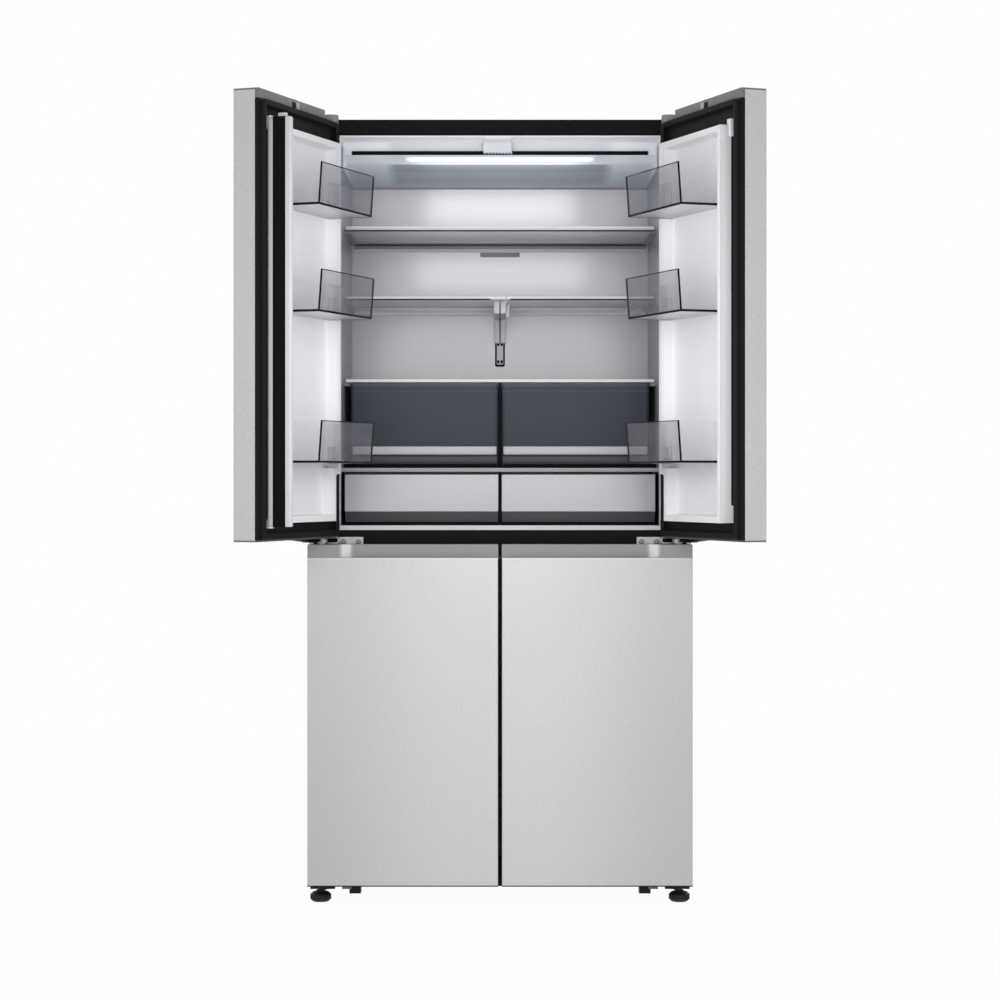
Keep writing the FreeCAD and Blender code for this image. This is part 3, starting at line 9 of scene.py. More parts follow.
import bmesh
import bpy
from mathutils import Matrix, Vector


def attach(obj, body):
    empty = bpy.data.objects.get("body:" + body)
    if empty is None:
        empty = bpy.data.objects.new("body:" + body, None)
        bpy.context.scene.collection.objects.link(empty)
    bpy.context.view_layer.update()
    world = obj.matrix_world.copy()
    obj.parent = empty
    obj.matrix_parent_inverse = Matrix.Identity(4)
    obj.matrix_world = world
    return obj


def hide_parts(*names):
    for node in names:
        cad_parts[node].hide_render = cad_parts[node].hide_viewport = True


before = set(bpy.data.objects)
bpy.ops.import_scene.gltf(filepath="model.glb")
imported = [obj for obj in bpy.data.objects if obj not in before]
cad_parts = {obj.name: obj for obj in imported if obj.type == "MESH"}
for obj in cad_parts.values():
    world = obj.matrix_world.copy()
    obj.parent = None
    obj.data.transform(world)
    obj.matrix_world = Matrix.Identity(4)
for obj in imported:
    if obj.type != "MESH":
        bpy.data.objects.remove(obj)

LOG = logging.getLogger("refrigerator")
MM = 0.001
SMOOTH_ANGLE = math.radians(38)
LEAST_BEND = 0.4
EDGE_SHARE = 0.45
WHITE = (1.0, 1.0, 1.0, 1.0)

Flat = tuple[float, float]
Spot = tuple[float, float, float]
Colour = tuple[float, float, float]
Placing = Callable[[Spot], Vector]
Key = Union[int, str]
Sockets = Optional[dict[Key, Any]]


def tone(level: float, warm: float = 0.0, cool: float = 0.0) -> Colour:
    """A grey as seen on a screen, turned to the linear colour that a shader takes.

    Args:
        level: Brightness from 0 to 255.
        warm: Added to the red.
        cool: Added to the blue.

    Returns:
        The linear red, green and blue.
    """
    shares = ((level + warm) / 255, level / 255, (level + cool) / 255)
    return tuple(((s + 0.055) / 1.055) ** 2.4 if s > 0.04045 else s / 12.92 for s in shares)


def add_object(name: str, data: bpy.types.ID) -> bpy.types.Object:
    """A new object of this data, in the scene.

    Args:
        name: The object's name.
        data: Its mesh, camera or light.

    Returns:
        The object.
    """
    made = bpy.data.objects.new(name, data)
    bpy.context.scene.collection.objects.link(made)
    return made


def add_node(tree: bpy.types.NodeTree, kind: str, settings: Sockets, inputs: Sockets) -> bpy.types.Node:
    """Adds one node to a shader or Geometry Nodes tree.

    Args:
        tree: The tree.
        kind: The node's type.
        settings: Its properties, set first.
        inputs: A value, a socket or a list of sockets for each named or numbered input.

    Returns:
        The node.
    """
    made = tree.nodes.new(kind)
    for key, value in (settings or {}).items():
        setattr(made, key, value)
    for key, value in (inputs or {}).items():
        links = value if isinstance(value, list) else [value]
        if isinstance(links[0], bpy.types.NodeSocket):
            for link in links:
                tree.links.new(link, made.inputs[key])
        else:
            made.inputs[key].default_value = value
    return made


def shaded(colour: Colour, share: float) -> Colour:
    """A colour made lighter or darker by a share."""
    return tuple(min(1.0, c * share) for c in colour)


class Side(Enum):
    """The two sides of the cabinet, with the sign of X on each."""

    LEFT = -1
    RIGHT = 1

    @property
    def word(self) -> str:
        """The side as it stands in node and body names."""
        return self.name.lower()

    def place(self, spot: Spot) -> Vector:
        """A place given for the right side, in millimetres, put on this side in metres."""
        return Vector((self.value * spot[0], spot[1], spot[2])) * MM


class Grain(Enum):
    """Which way the brush lines of a metal face run, as a stretch of its pattern along X, Y and Z."""

    ACROSS = (2.0, 400.0, 1800.0)
    UPRIGHT = (1800.0, 400.0, 2.0)


class Shade:
    """A value in a shader that takes part in Python sums, each of which adds a Math node."""

    def __init__(self, graph: "Graph", socket: bpy.types.NodeSocket) -> None:
        """Holds the socket and the graph that it belongs to."""
        self.graph = graph
        self.socket = socket

    def _sum(self, operation: str, other: Any = 0.0) -> "Shade":
        """One Math node on this value and another."""
        return self.graph.node("Math", {"operation": operation}, {0: self, 1: other})

    def __add__(self, other: Any) -> "Shade":
        """self + other"""
        return self._sum("ADD", other)

    def __mul__(self, other: Any) -> "Shade":
        """self * other"""
        return self._sum("MULTIPLY", other)

    def __abs__(self) -> "Shade":
        """abs(self)"""
        return self._sum("ABSOLUTE")

    def about(self, middle: float, width: float) -> "Shade":
        """A value from 0 to 1 spread over a width about a middle."""
        return self * width + (middle - width / 2)

    def rise(self, low: float, high: float) -> "Shade":
        """A smooth way from 0 at low to 1 at high; low may be the larger of the two."""
        sockets = {"Value": self, "From Min": low, "From Max": high}
        return self.graph.node("MapRange", {"interpolation_type": "SMOOTHSTEP"}, sockets)


class Graph:
    """The node tree of one material, or of the world."""

    def __init__(self, owner: Union[bpy.types.Material, bpy.types.World]) -> None:
        """Starts an empty tree.

        Args:
            owner: The material or world whose tree it is.
        """
        owner.use_nodes = True
        self.owner = owner
        self.tree = owner.node_tree
        self.tree.nodes.clear()

    def node(
        self, kind: str, settings: Sockets = None, inputs: Sockets = None, output: Optional[Key] = 0
    ) -> Optional[Shade]:
        """Adds one node.

        Args:
            kind: The node's type, without the family's prefix.
            settings: Its properties.
            inputs: A value or a Shade for each named or numbered socket.
            output: The output socket to hand back, or None for a node that has none.

        Returns:
            The output as a Shade.
        """
        plain = {}
        for key, value in (inputs or {}).items():
            plain[key] = value.socket if isinstance(value, Shade) else value
        made = add_node(self.tree, f"ShaderNode{kind}", settings, plain)
        return None if output is None else Shade(self, made.outputs[output])

    def along(self, axis: str) -> Shade:
        """The place on the piece along X, Y or Z, in metres."""
        coords = self.node("TexCoord", output="Object")
        return self.node("SeparateXYZ", None, {"Vector": coords}, axis)

    def noise(self, scale: Sequence[float], detail: float = 2.0, rough: float = 0.5) -> Shade:
        """Noise from 0 to 1.

        Args:
            scale: Waves in a metre along X, Y and Z.
            detail: How many finer waves are added.
            rough: How strong the finer waves are.

        Returns:
            The noise.
        """
        coords = self.node("TexCoord", output="Object")
        place = self.node("Mapping", None, {"Vector": coords, "Scale": tuple(scale)})
        sockets = {"Vector": place, "Scale": 1.0, "Detail": detail, "Roughness": rough}
        return self.node("TexNoise", None, sockets)

    def between(self, share: Shade, low: Union[Colour, Shade], high: Union[Colour, Shade]) -> Shade:
        """A colour between two, by a share from 0 to 1.

        Args:
            share: How far from the first to the second.
            low: The colour at 0.
            high: The colour at 1.

        Returns:
            The mixed colour.
        """
        first, second = (end if isinstance(end, Shade) else (*end, 1.0) for end in (low, high))
        sockets = {"Factor": share, 6: first, 7: second}
        return self.node("Mix", {"data_type": "RGBA"}, sockets, output=2)

    def stops(self, value: Shade, *stops: tuple[float, Colour]) -> Shade:
        """A colour that changes smoothly from one stop to the next as a value rises.

        Args:
            value: What rises.
            stops: Pairs of a value and the colour there, in rising order.

        Returns:
            The colour at the value.
        """
        mixed: Union[Colour, Shade] = stops[0][1]
        for (low, _), (high, colour) in zip(stops, stops[1:]):
            mixed = self.between(value.rise(low, high), mixed, colour)
        return mixed

    def bump(self, height: Shade, depth: float, strength: float = 0.5) -> Shade:
        """A bumped normal from a height, with its depth in metres."""
        sockets = {"Height": height, "Distance": depth, "Strength": strength}
        return self.node("Bump", None, sockets)

    def seen(self) -> Shade:
        """1 for rays from the camera, from mirrors and through clear pieces, and 0 for light.

        Returns:
            The share of what is seen.
        """
        kinds = ("Is Camera Ray", "Is Glossy Ray", "Is Transmission Ray")
        camera, glossy, through = (self.node("LightPath", output=kind) for kind in kinds)
        return camera + glossy + through

    def coated(self, **sockets: Any) -> Shade:
        """One Principled shader with these sockets, underscores standing for spaces."""
        named = {key.replace("_", " "): value for key, value in sockets.items()}
        return self.node("BsdfPrincipled", None, named)

    def finish(self, **sockets: Any) -> bpy.types.Material:
        """Ends a material's tree in one Principled shader with these sockets."""
        return self.end(self.coated(**sockets), "OutputMaterial")

    def end(self, shader: Shade, kind: str) -> Union[bpy.types.Material, bpy.types.World]:
        """Links a shader to an output node of this kind and hands back the tree's owner."""
        self.node(kind, None, {"Surface": shader}, output=None)
        return self.owner


@dataclass(frozen=True)
class Finish:
    """What every finish has: its name, main colour, roughness and slot."""

    name: str
    colour: Colour
    roughness: float
    slot: str = ""
    contrast: float = 0.03
    gloss: float = 0.5
    made: ClassVar[dict[str, bpy.types.Material]] = {}

    def material(self) -> bpy.types.Material:
        """The finish's material, made once.

        Returns:
            The material.
        """
        if self.name not in self.made:
            self.made[self.name] = self.mix(Graph(bpy.data.materials.new(self.name)))
        return self.made[self.name]

    def tint(self, graph: Graph, share: Shade) -> Shade:
        """The colour, a little darker or lighter by a share from 0 to 1."""
        low, high = shaded(self.colour, 1 - self.contrast), shaded(self.colour, 1 + self.contrast)
        return graph.between(share, low, high)

    def mix(self, graph: Graph) -> bpy.types.Material:
        """Builds the material's nodes."""
        raise NotImplementedError


@dataclass(frozen=True)
class SatinSteel(Finish):
    """Coated steel sheet with a fine speckle, sparse glints and painted shade that darkens it towards
    the outer edges.
    """

    speckles: float = 330.0
    metal: float = 0.3
    # Painted shade at the outer edges: where it sets in along X, and how much darker it makes the sheet.
    outer: Flat = (0.08, 0.46)
    falloff: float = 0.15

    def mix(self, graph: Graph) -> bpy.types.Material:
        """Speckles over a broad, faint unevenness, with painted shade that darkens the outer edges.

        Args:
            graph: The tree to build it in.

        Returns:
            The finished material.
        """
        spread = (self.speckles * 0.7, self.speckles, self.speckles * 1.2)
        speckle = graph.noise(spread, detail=2.0, rough=0.6).rise(0.32, 0.68)
        glint = graph.noise((self.speckles,) * 3, detail=0.0).rise(0.68, 0.74)
        broad = graph.noise((1.8, 1.8, 1.2), detail=1.0).rise(0.3, 0.7)
        # Painted shade: the sheet darkens towards its outer edges in X, standing in for the lamps' light
        # falling off there.
        painted_edge_shade = abs(graph.along("X")).rise(*self.outer) * self.falloff
        sheet = self.tint(graph, speckle * 0.8 + broad * 0.2 + glint * 0.4)
        return graph.finish(
            Base_Color=graph.between(painted_edge_shade, sheet, tone(0)),
            Roughness=speckle.about(self.roughness, 0.10),
            Metallic=self.metal,
            Normal=graph.bump(speckle, 0.00003),
        )


@dataclass(frozen=True)
class BrushedMetal(Finish):
    """Metal, or metal-look sheet, with fine brush lines."""

    grain: Grain = Grain.ACROSS
    metal: float = 0.5
    depth: float = 0.00002

    def mix(self, graph: Graph) -> bpy.types.Material:
        """Long streaks in colour, roughness and bump.

        Args:
            graph: The tree to build it in.

        Returns:
            The finished material.
        """
        streaks = graph.noise(self.grain.value, detail=3.0, rough=0.6).rise(0.25, 0.75)
        return graph.finish(
            Base_Color=self.tint(graph, streaks),
            Roughness=streaks.about(self.roughness, 0.04),
            Metallic=self.metal,
            Normal=graph.bump(streaks, self.depth),
        )


@dataclass(frozen=True)
class GripMetal(BrushedMetal):
    """Brushed metal with a painted highlight on the slanted end of the finger recess."""

    # Painted highlight: its light colour, and where along X it starts, is full, fades and ends.
    polish: Colour = tone(230, warm=3)
    bevel: tuple[float, float, float, float] = (0.345, 0.357, 0.368, 0.382)

    def tint(self, graph: Graph, share: Shade) -> Shade:
        """The brushed colour, with a painted highlight over the slanted end.

        Args:
            graph: The tree to build it in.
            share: The place in the pattern, from 0 to 1.

        Returns:
            The colour.
        """
        off_centre = abs(graph.along("X"))
        start, full, fading, end = self.bevel
        # Painted highlight: a lighter patch over the slanted end, standing in for its reflection.
        highlight_patch = off_centre.rise(start, full) * off_centre.rise(end, fading)
        return graph.between(highlight_patch, super().tint(graph, share), self.polish)


@dataclass(frozen=True)
class MouldedPlastic(Finish):
    """Moulded plastic with a fine eroded texture and faint colour drift."""

    texture: float = 1400.0

    def mix(self, graph: Graph) -> bpy.types.Material:
        """Fine grain in the bump and roughness, broad drift in the colour.

        Args:
            graph: The tree to build it in.

        Returns:
            The finished material.
        """
        grain = graph.noise((self.texture,) * 3, detail=2.0)
        drift = graph.noise((6.0, 6.0, 6.0), detail=2.0)
        return graph.finish(
            Base_Color=self.tint(graph, drift),
            Roughness=grain.about(self.roughness, 0.12),
            Specular_IOR_Level=self.gloss,
            Normal=graph.bump(grain, 0.00004),
        )


@dataclass(frozen=True)
class LinerPlastic(MouldedPlastic):
    """White liner plastic with painted shade in grey on its side walls, behind the lip and below the
    ceiling.
    """

    # The grey of the painted shade on the side walls.
    film: Colour = tone(132, warm=-5, cool=8)
    wall: Flat = (0.362, 0.366)
    lip: Flat = (-0.308, -0.304)
    ceiling: Flat = (1.815, 1.800)
    sill: Flat = (0.905, 0.899)
    sill_share: float = 0.33

    def tint(self, graph: Graph, share: Shade) -> Shade:
        """White, with painted shade in grey on the walls and a little of that grey on the sill.

        Args:
            graph: The tree to build it in.
            share: The place in the pattern, from 0 to 1.

        Returns:
            The colour.
        """
        # Painted shade: the side walls are greyed; from the sill down a third of the same grey is mixed
        # in.
        painted_shade = abs(graph.along("X")).rise(*self.wall) * graph.along("Y").rise(*self.lip)
        painted_shade = painted_shade * graph.along("Z").rise(*self.ceiling)
        painted_shade = painted_shade + graph.along("Z").rise(*self.sill) * self.sill_share
        return graph.between(painted_shade, super().tint(graph, share), self.film)


@dataclass(frozen=True)
class LampHousing(MouldedPlastic):
    """Frosted housing: white in front, dark behind the lamp, paler towards the rear and at its ends."""

    pale: Colour = tone(224, warm=-9, cool=8)
    recess: Flat = (0.25, 0.29)
    front: float = -0.215
    ends: tuple[float, Colour] = (0.070, tone(226, warm=-4, cool=5))
    bands: tuple[Flat, ...] = (
        (-0.150, 220), (-0.138, 152), (-0.070, 150), (-0.030, 172), (0.060, 176), (0.140, 214),
    )

    def tint(self, graph: Graph, share: Shade) -> Shade:
        """The greys from the front to the rear, and pale ends.

        Args:
            graph: The tree to build it in.
            share: The place in the pattern, from 0 to 1.

        Returns:
            The colour.
        """
        greys = [(place, tone(level, warm=-7, cool=7)) for place, level in self.bands]
        middle = graph.stops(graph.along("Y"), (self.front, self.colour), *greys)
        rear, first = self.ends
        ends = graph.stops(graph.along("Y"), (self.front, first), (rear, self.pale))
        return graph.between(abs(graph.along("X")).rise(*self.recess), middle, ends)


@dataclass(frozen=True)
class PaintedSheet(Finish):
    """Painted or galvanised steel sheet with a shallow orange-peel surface."""

    peel: float = 320.0
    metal: float = 0.0

    def mix(self, graph: Graph) -> bpy.types.Material:
        """Orange peel in the bump and a slight cloudiness.

        Args:
            graph: The tree to build it in.

        Returns:
            The finished material.
        """
        peel = graph.noise((self.peel,) * 3, detail=1.0)
        cloud = graph.noise((9.0, 9.0, 9.0), detail=4.0, rough=0.6)
        return graph.finish(
            Base_Color=self.tint(graph, cloud),
            Roughness=cloud.about(self.roughness, 0.12),
            Specular_IOR_Level=self.gloss,
            Metallic=self.metal,
            Normal=graph.bump(peel, 0.00006),
        )


@dataclass(frozen=True)
class ClearPlastic(Finish):
    """Clear or smoked plastic that lets part of the light through."""

    cover: float = 0.4
    flow: float = 14.0

    def mix(self, graph: Graph) -> bpy.types.Material:
        """Flow marks vary the colour, the cover and the gloss a little.

        Args:
            graph: The tree to build it in.

        Returns:
            The finished material.
        """
        flow = graph.noise((self.flow, self.flow, self.flow * 3), detail=2.0)
        return graph.finish(
            Base_Color=self.tint(graph, flow),
            Roughness=flow.about(self.roughness, 0.06),
            Alpha=flow.about(self.cover, 0.06),
            Specular_IOR_Level=self.gloss,
        )


@dataclass(frozen=True)
class LampCover(Finish):
    """A lit diffuser that fades towards its ends and edges."""

    power: float = 1.5
    dim: Colour = tone(140, warm=-5, cool=8)
    half: float = 0.232
    end_fade: float = 0.02
    front: Flat = (-0.203, -0.191)
    rear: Flat = (-0.158, -0.188)

    def mix(self, graph: Graph) -> bpy.types.Material:
        """The glow is full in the middle and falls off over the last stretch.

        Args:
            graph: The tree to build it in.

        Returns:
            The finished material.
        """
        ends = abs(graph.along("X")).rise(self.half, self.half - self.end_fade)
        across = graph.along("Y").rise(*self.front) * graph.along("Y").rise(*self.rear)
        return graph.finish(
            Base_Color=(*self.dim, 1.0),
            Roughness=self.roughness,
            Emission_Color=graph.between(ends * across, self.dim, self.colour),
            Emission_Strength=self.power,
        )


DOOR_STEEL = SatinSteel("door_steel", tone(211), 0.44, contrast=0.09)
CABINET_PAINT = PaintedSheet("cabinet_paint", tone(150), 0.45)
ZINC_SHEET = PaintedSheet("zinc_sheet", tone(168), 0.5, contrast=0.05, peel=90.0, metal=0.4)
FRAME_BLACK = PaintedSheet("frame_black", tone(20, cool=3), 0.5, contrast=0.1, gloss=0.06)
LINER_WHITE = LinerPlastic("liner_white", tone(228, warm=-2, cool=4), 0.34, "white_plastic", gloss=0.3)
# Painted shade: a darker copy of the white plastic, for the pillar.
PILLAR_WHITE = MouldedPlastic("pillar_white", tone(206, cool=4), 0.34, "white_plastic", gloss=0.3)
DYKE_WHITE = MouldedPlastic("dyke_white", tone(230, cool=3), 0.34, "white_plastic", gloss=0.3)
PLAIN_WHITE = MouldedPlastic("plain_white", tone(228, cool=3), 0.34, "white_plastic")
FOAM = MouldedPlastic("foam", tone(205, warm=12, cool=-40), 0.9, contrast=0.08, texture=500.0)
REAR_METAL = BrushedMetal(
    "rear_metal", tone(196, cool=3), 0.24, "silver_panel", contrast=0.006, metal=0.65, depth=0.000002,
)
LAMP_GREY = LampHousing("lamp_grey", tone(206, warm=-4, cool=5), 0.4, "lamp_cover", gloss=0.3)
LAMP = LampCover("lamp", tone(250, cool=4), 0.4)
DARK_PLASTIC = MouldedPlastic("dark_plastic", tone(12, cool=2), 0.45, contrast=0.1, gloss=0.06)
SHELF_GLASS = ClearPlastic("shelf_glass", tone(210, cool=6), 0.3, gloss=0.2, cover=0.5, flow=4.0)
TRIM_METAL = BrushedMetal("trim_metal", tone(214), 0.34, metal=0.3)
SMOKED = ClearPlastic("smoked", tone(70, warm=-3, cool=8), 0.2, "smoked_plastic", gloss=0.15, cover=0.95)
SMOKED_RIM = MouldedPlastic("smoked_rim", tone(80, warm=-3, cool=8), 0.3, "smoked_plastic", gloss=0.2)
BASE_GREY = MouldedPlastic("base_grey", tone(64, cool=3), 0.4, "smoked_plastic", gloss=0.2)
BIN_CLEAR = ClearPlastic("bin_clear", tone(110, cool=8), 0.1, "smoked_plastic", gloss=0.2, cover=0.27)
BIN_END = ClearPlastic("bin_end", tone(205, cool=6), 0.1, "smoked_plastic", gloss=0.1, cover=0.05)
BIN_TRAY = ClearPlastic("bin_tray", tone(218, cool=4), 0.3, "smoked_plastic", cover=0.75)
# Painted shade: the bins' edges are near black, standing in for the darkness that light bending in clear
# plastic edges gives.
BIN_EDGE = MouldedPlastic("bin_edge", tone(14, cool=3), 0.3, "smoked_plastic", contrast=0.1, gloss=0.08)
FRONT_METAL = BrushedMetal("front_metal", tone(188, cool=4), 0.36, contrast=0.015, metal=0.3)
LIGHT_PLASTIC = MouldedPlastic("light_plastic", tone(206, cool=8), 0.35)
GUIDE_GREY = MouldedPlastic("guide_grey", tone(210, warm=-3, cool=5), 0.4, "white_plastic", gloss=0.3)
# Painted shadow: a grey for the strip that stands in for the shadow on the rear panel under the upper
# shelf.
SHADOW_STRIP_GREY = MouldedPlastic("bar_grey", tone(180, cool=5), 0.35, "light_plastic", gloss=0.3)
DECK_GREY = MouldedPlastic("deck_grey", tone(148, cool=4), 0.35, "light_plastic", gloss=0.3)
CAP_GREY = MouldedPlastic("cap_grey", tone(162, cool=1), 0.5, gloss=0.2)
# Painted shade: a darker copy of the cap grey, for the upper doors' caps.
TOP_CAP = MouldedPlastic("top_cap", tone(122, cool=1), 0.5, "cap_grey", gloss=0.2)
TAB_GREY = MouldedPlastic("tab_grey", tone(172, cool=2), 0.45, "cap_grey")
VENT_GREY = MouldedPlastic("vent_grey", tone(124, cool=3), 0.45, "dark_plastic")
SEAL_RUBBER = MouldedPlastic(
    "seal_rubber", tone(22, cool=2), 0.6, contrast=0.12, gloss=0.12, texture=700.0,
)
GRIP_METAL = GripMetal("grip_metal", tone(146), 0.36, contrast=0.06, metal=0.5)
HINGE_METAL = BrushedMetal("hinge_metal", tone(186), 0.34, grain=Grain.UPRIGHT, metal=0.6)
COVER_METAL = BrushedMetal("cover_metal", tone(132), 0.4, "hinge_metal", metal=0.4)
FOOT_BLACK = MouldedPlastic("foot_black", tone(30), 0.5, "foot_plastic", contrast=0.1, gloss=0.3)
MACHINE_BLACK = PaintedSheet("machine_black", tone(30), 0.4, contrast=0.1, gloss=0.2)
FIN_METAL = BrushedMetal("fin_metal", tone(176), 0.36, metal=0.8)
SCREW_METAL = BrushedMetal("screw_metal", tone(150), 0.3, "hinge_metal", metal=0.8)
FREEZER_CLEAR = ClearPlastic("freezer_clear", tone(222, cool=6), 0.18, "white_plastic", cover=0.6)


def dress(finish: Finish, *names: str) -> None:
    """Gives CAD nodes a finish.

    Args:
        finish: The finish that covers each of them.
        names: The nodes.
    """
    for name in names:
        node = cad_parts[name]
        node.data.materials.clear()
        node.data.materials.append(finish.material())
        LOG.info("node %s takes %s", name, finish.name)


def corners_of(low: Flat, high: Flat) -> list[Flat]:
    """The corners of a rectangle, anticlockwise."""
    return [(low[0], low[1]), (high[0], low[1]), (high[0], high[1]), (low[0], high[1])]


def mirrored(near: float, far: float) -> tuple[Flat, Flat]:
    """A span across X on the left of the middle and the same on the right."""
    return (-far, -near), (near, far)


def rounded(corners: Sequence[Flat], radius: float, inset: float = 0.0, steps: int = 5) -> list[Flat]:
    """An outline of square corners, drawn in by an inset and rounded.

    Args:
        corners: The corners, anticlockwise, each a right angle.
        radius: The corner radius of the outline with no inset.
        inset: How far the outline is drawn in.
        steps: Segments in each corner.

    Returns:
        The points, as many for any inset, so that such outlines join up.
    """
    points: list[Flat] = []
    count = len(corners)
    for index, corner in enumerate(corners):
        here = Vector(corner)
        come = (here - Vector(corners[index - 1])).normalized()
        leave = (Vector(corners[(index + 1) % count]) - here).normalized()
        convex = come.x * leave.y - come.y * leave.x > 0
        bend = max(radius - inset, LEAST_BEND) if convex else radius + inset
        left_come = Vector((-come.y, come.x))
        left_leave = Vector((-leave.y, leave.x))
        here = here + (left_come + left_leave) * inset
        centre = here - come * bend + leave * bend
        for step in range(steps + 1):
            turn = math.pi / 2 * step / steps
            spot = centre - leave * bend * math.cos(turn) + come * bend * math.sin(turn)
            points.append((spot.x, spot.y))
    return points


class Mould:
    """Collects the shapes of one piece in millimetres and turns them into one finished object."""

    def __init__(self, place: Placing = Side.RIGHT.place) -> None:
        """Starts an empty mould.

        Args:
            place: Turns a place in millimetres into one in metres in the shared frame.
        """
        self.mesh = bmesh.new()
        self.place = place
        self.finishes: list[Finish] = []

    def _take(self, part: bmesh.types.BMesh, finish: Finish) -> None:
        """Adds a shape that was made in millimetres.

        Args:
            part: The shape, which is used up.
            finish: Its finish.
        """
        if finish not in self.finishes:
            self.finishes.append(finish)
        for vertex in part.verts:
            vertex.co = self.place(tuple(vertex.co))
        bmesh.ops.recalc_face_normals(part, faces=part.faces)
        for face in part.faces:
            face.material_index = self.finishes.index(finish)
        store = bpy.data.meshes.new("store")
        part.to_mesh(store)
        part.free()
        self.mesh.from_mesh(store)
        bpy.data.meshes.remove(store)

    def block(self, low: Spot, high: Spot, finish: Finish, radius: float = 1.0, steps: int = 2) -> None:
        """A block with rounded edges.

        Args:
            low: Its lowest corner.
            high: Its highest corner.
            finish: Its finish.
            radius: The radius of its edges.
            steps: Segments across each edge.
        """
        part = bmesh.new()
        bmesh.ops.create_cube(part, size=1.0)
        middle = [(a + b) / 2 for a, b in zip(low, high)]
        span = [abs(b - a) for a, b in zip(low, high)]
        for vertex in part.verts:
            vertex.co = Vector(m + s * c for m, s, c in zip(middle, span, vertex.co))
        bend = min(radius, min(span) * EDGE_SHARE)
        bmesh.ops.bevel(
            part, geom=part.edges[:], offset=bend, segments=steps, profile=0.5, affect="EDGES"
        )
        self._take(part, finish)

    def blocks(self, *rows: Sequence[Any]) -> "Mould":
        """Adds several blocks.

        Args:
            rows: For each block, what block takes.

        Returns:
            The mould itself.
        """
        for row in rows:
            self.block(*row)
        return self

    def loft(self, loops: Sequence[Sequence[Spot]], finish: Finish, ring: bool = False) -> None:
        """A skin over loops of as many points each.

        Args:
            loops: The loops in order.
            finish: The skin's finish.
            ring: True joins the last loop to the first; otherwise both ends are closed.
        """
        part = bmesh.new()
        rows = [[part.verts.new(spot) for spot in loop] for loop in loops]
        pairs = list(zip(rows, rows[1:]))
        if ring:
            pairs.append((rows[-1], rows[0]))
        for first, second in pairs:
            for index in range(len(first)):
                part.faces.new((first[index - 1], first[index], second[index], second[index - 1]))
        if not ring:
            part.faces.new(rows[0])
            part.faces.new(rows[-1])
        self._take(part, finish)

    def sweep(
        self, corners: Sequence[Flat], radius: float, profile: Sequence[Flat], finish: Finish,
        steps: int = 5, axis: int = 2, ring: bool = False,
    ) -> None:
        """A skin over one rounded outline, drawn in by an inset at each place along an axis.

        Args:
            corners: The outline's corners.
            radius: Its corner radius.
            profile: The inset and the place of each loop.
            finish: The skin's finish.
            steps: Segments in each corner.
            axis: The axis's number, 1 or 2.
            ring: As for a loft.
        """
        loops = []
        for inset, place in profile:
            outline = rounded(corners, radius, inset, steps)
            loops.append([(*spot[:axis], place, *spot[axis:]) for spot in outline])
        self.loft(loops, finish, ring)

    def lathe(self, profile: Sequence[Flat], centre: Spot, finish: Finish, sides: int = 32) -> None:
        """A turned shape about an upright axis.

        Args:
            profile: Radius and height pairs from the bottom to the top.
            centre: The axis's foot.
            finish: The shape's finish.
            sides: Segments round the axis.
        """
        x, y, z = centre
        turns = [2 * math.pi * k / sides for k in range(sides)]
        loops = [[(x + r * math.cos(t), y + r * math.sin(t), z + h) for t in turns] for r, h in profile]
        self.loft(loops, finish)

    def piece(self, name: str, body: str, *replaces: str) -> None:
        """Ends the mould.

        Args:
            name: The piece's name.
            body: The body that it rides on.
            replaces: The CAD nodes that it stands for.
        """
        data = bpy.data.meshes.new(name)
        self.mesh.to_mesh(data)
        self.mesh.free()
        for polygon in data.polygons:
            polygon.use_smooth = True
        data.set_sharp_from_angle(angle=SMOOTH_ANGLE)
        for finish in self.finishes:
            data.materials.append(finish.material())
        settle(add_object(name, data), body, self.finishes[0], *replaces)


def settle(made: bpy.types.Object, body: str, finish: Finish, *replaces: str) -> None:
    """Puts a finished object on its body.

    Args:
        made: The object, at the origin.
        body: The body that it rides on.
        finish: Not used.
        replaces: The CAD nodes that it stands for.
    """
    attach(made, body)
    finish.slot or finish.name
    if replaces:
        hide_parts(*replaces)
    LOG.info("piece %s on %s, %d faces", made.name, body, len(made.data.polygons))


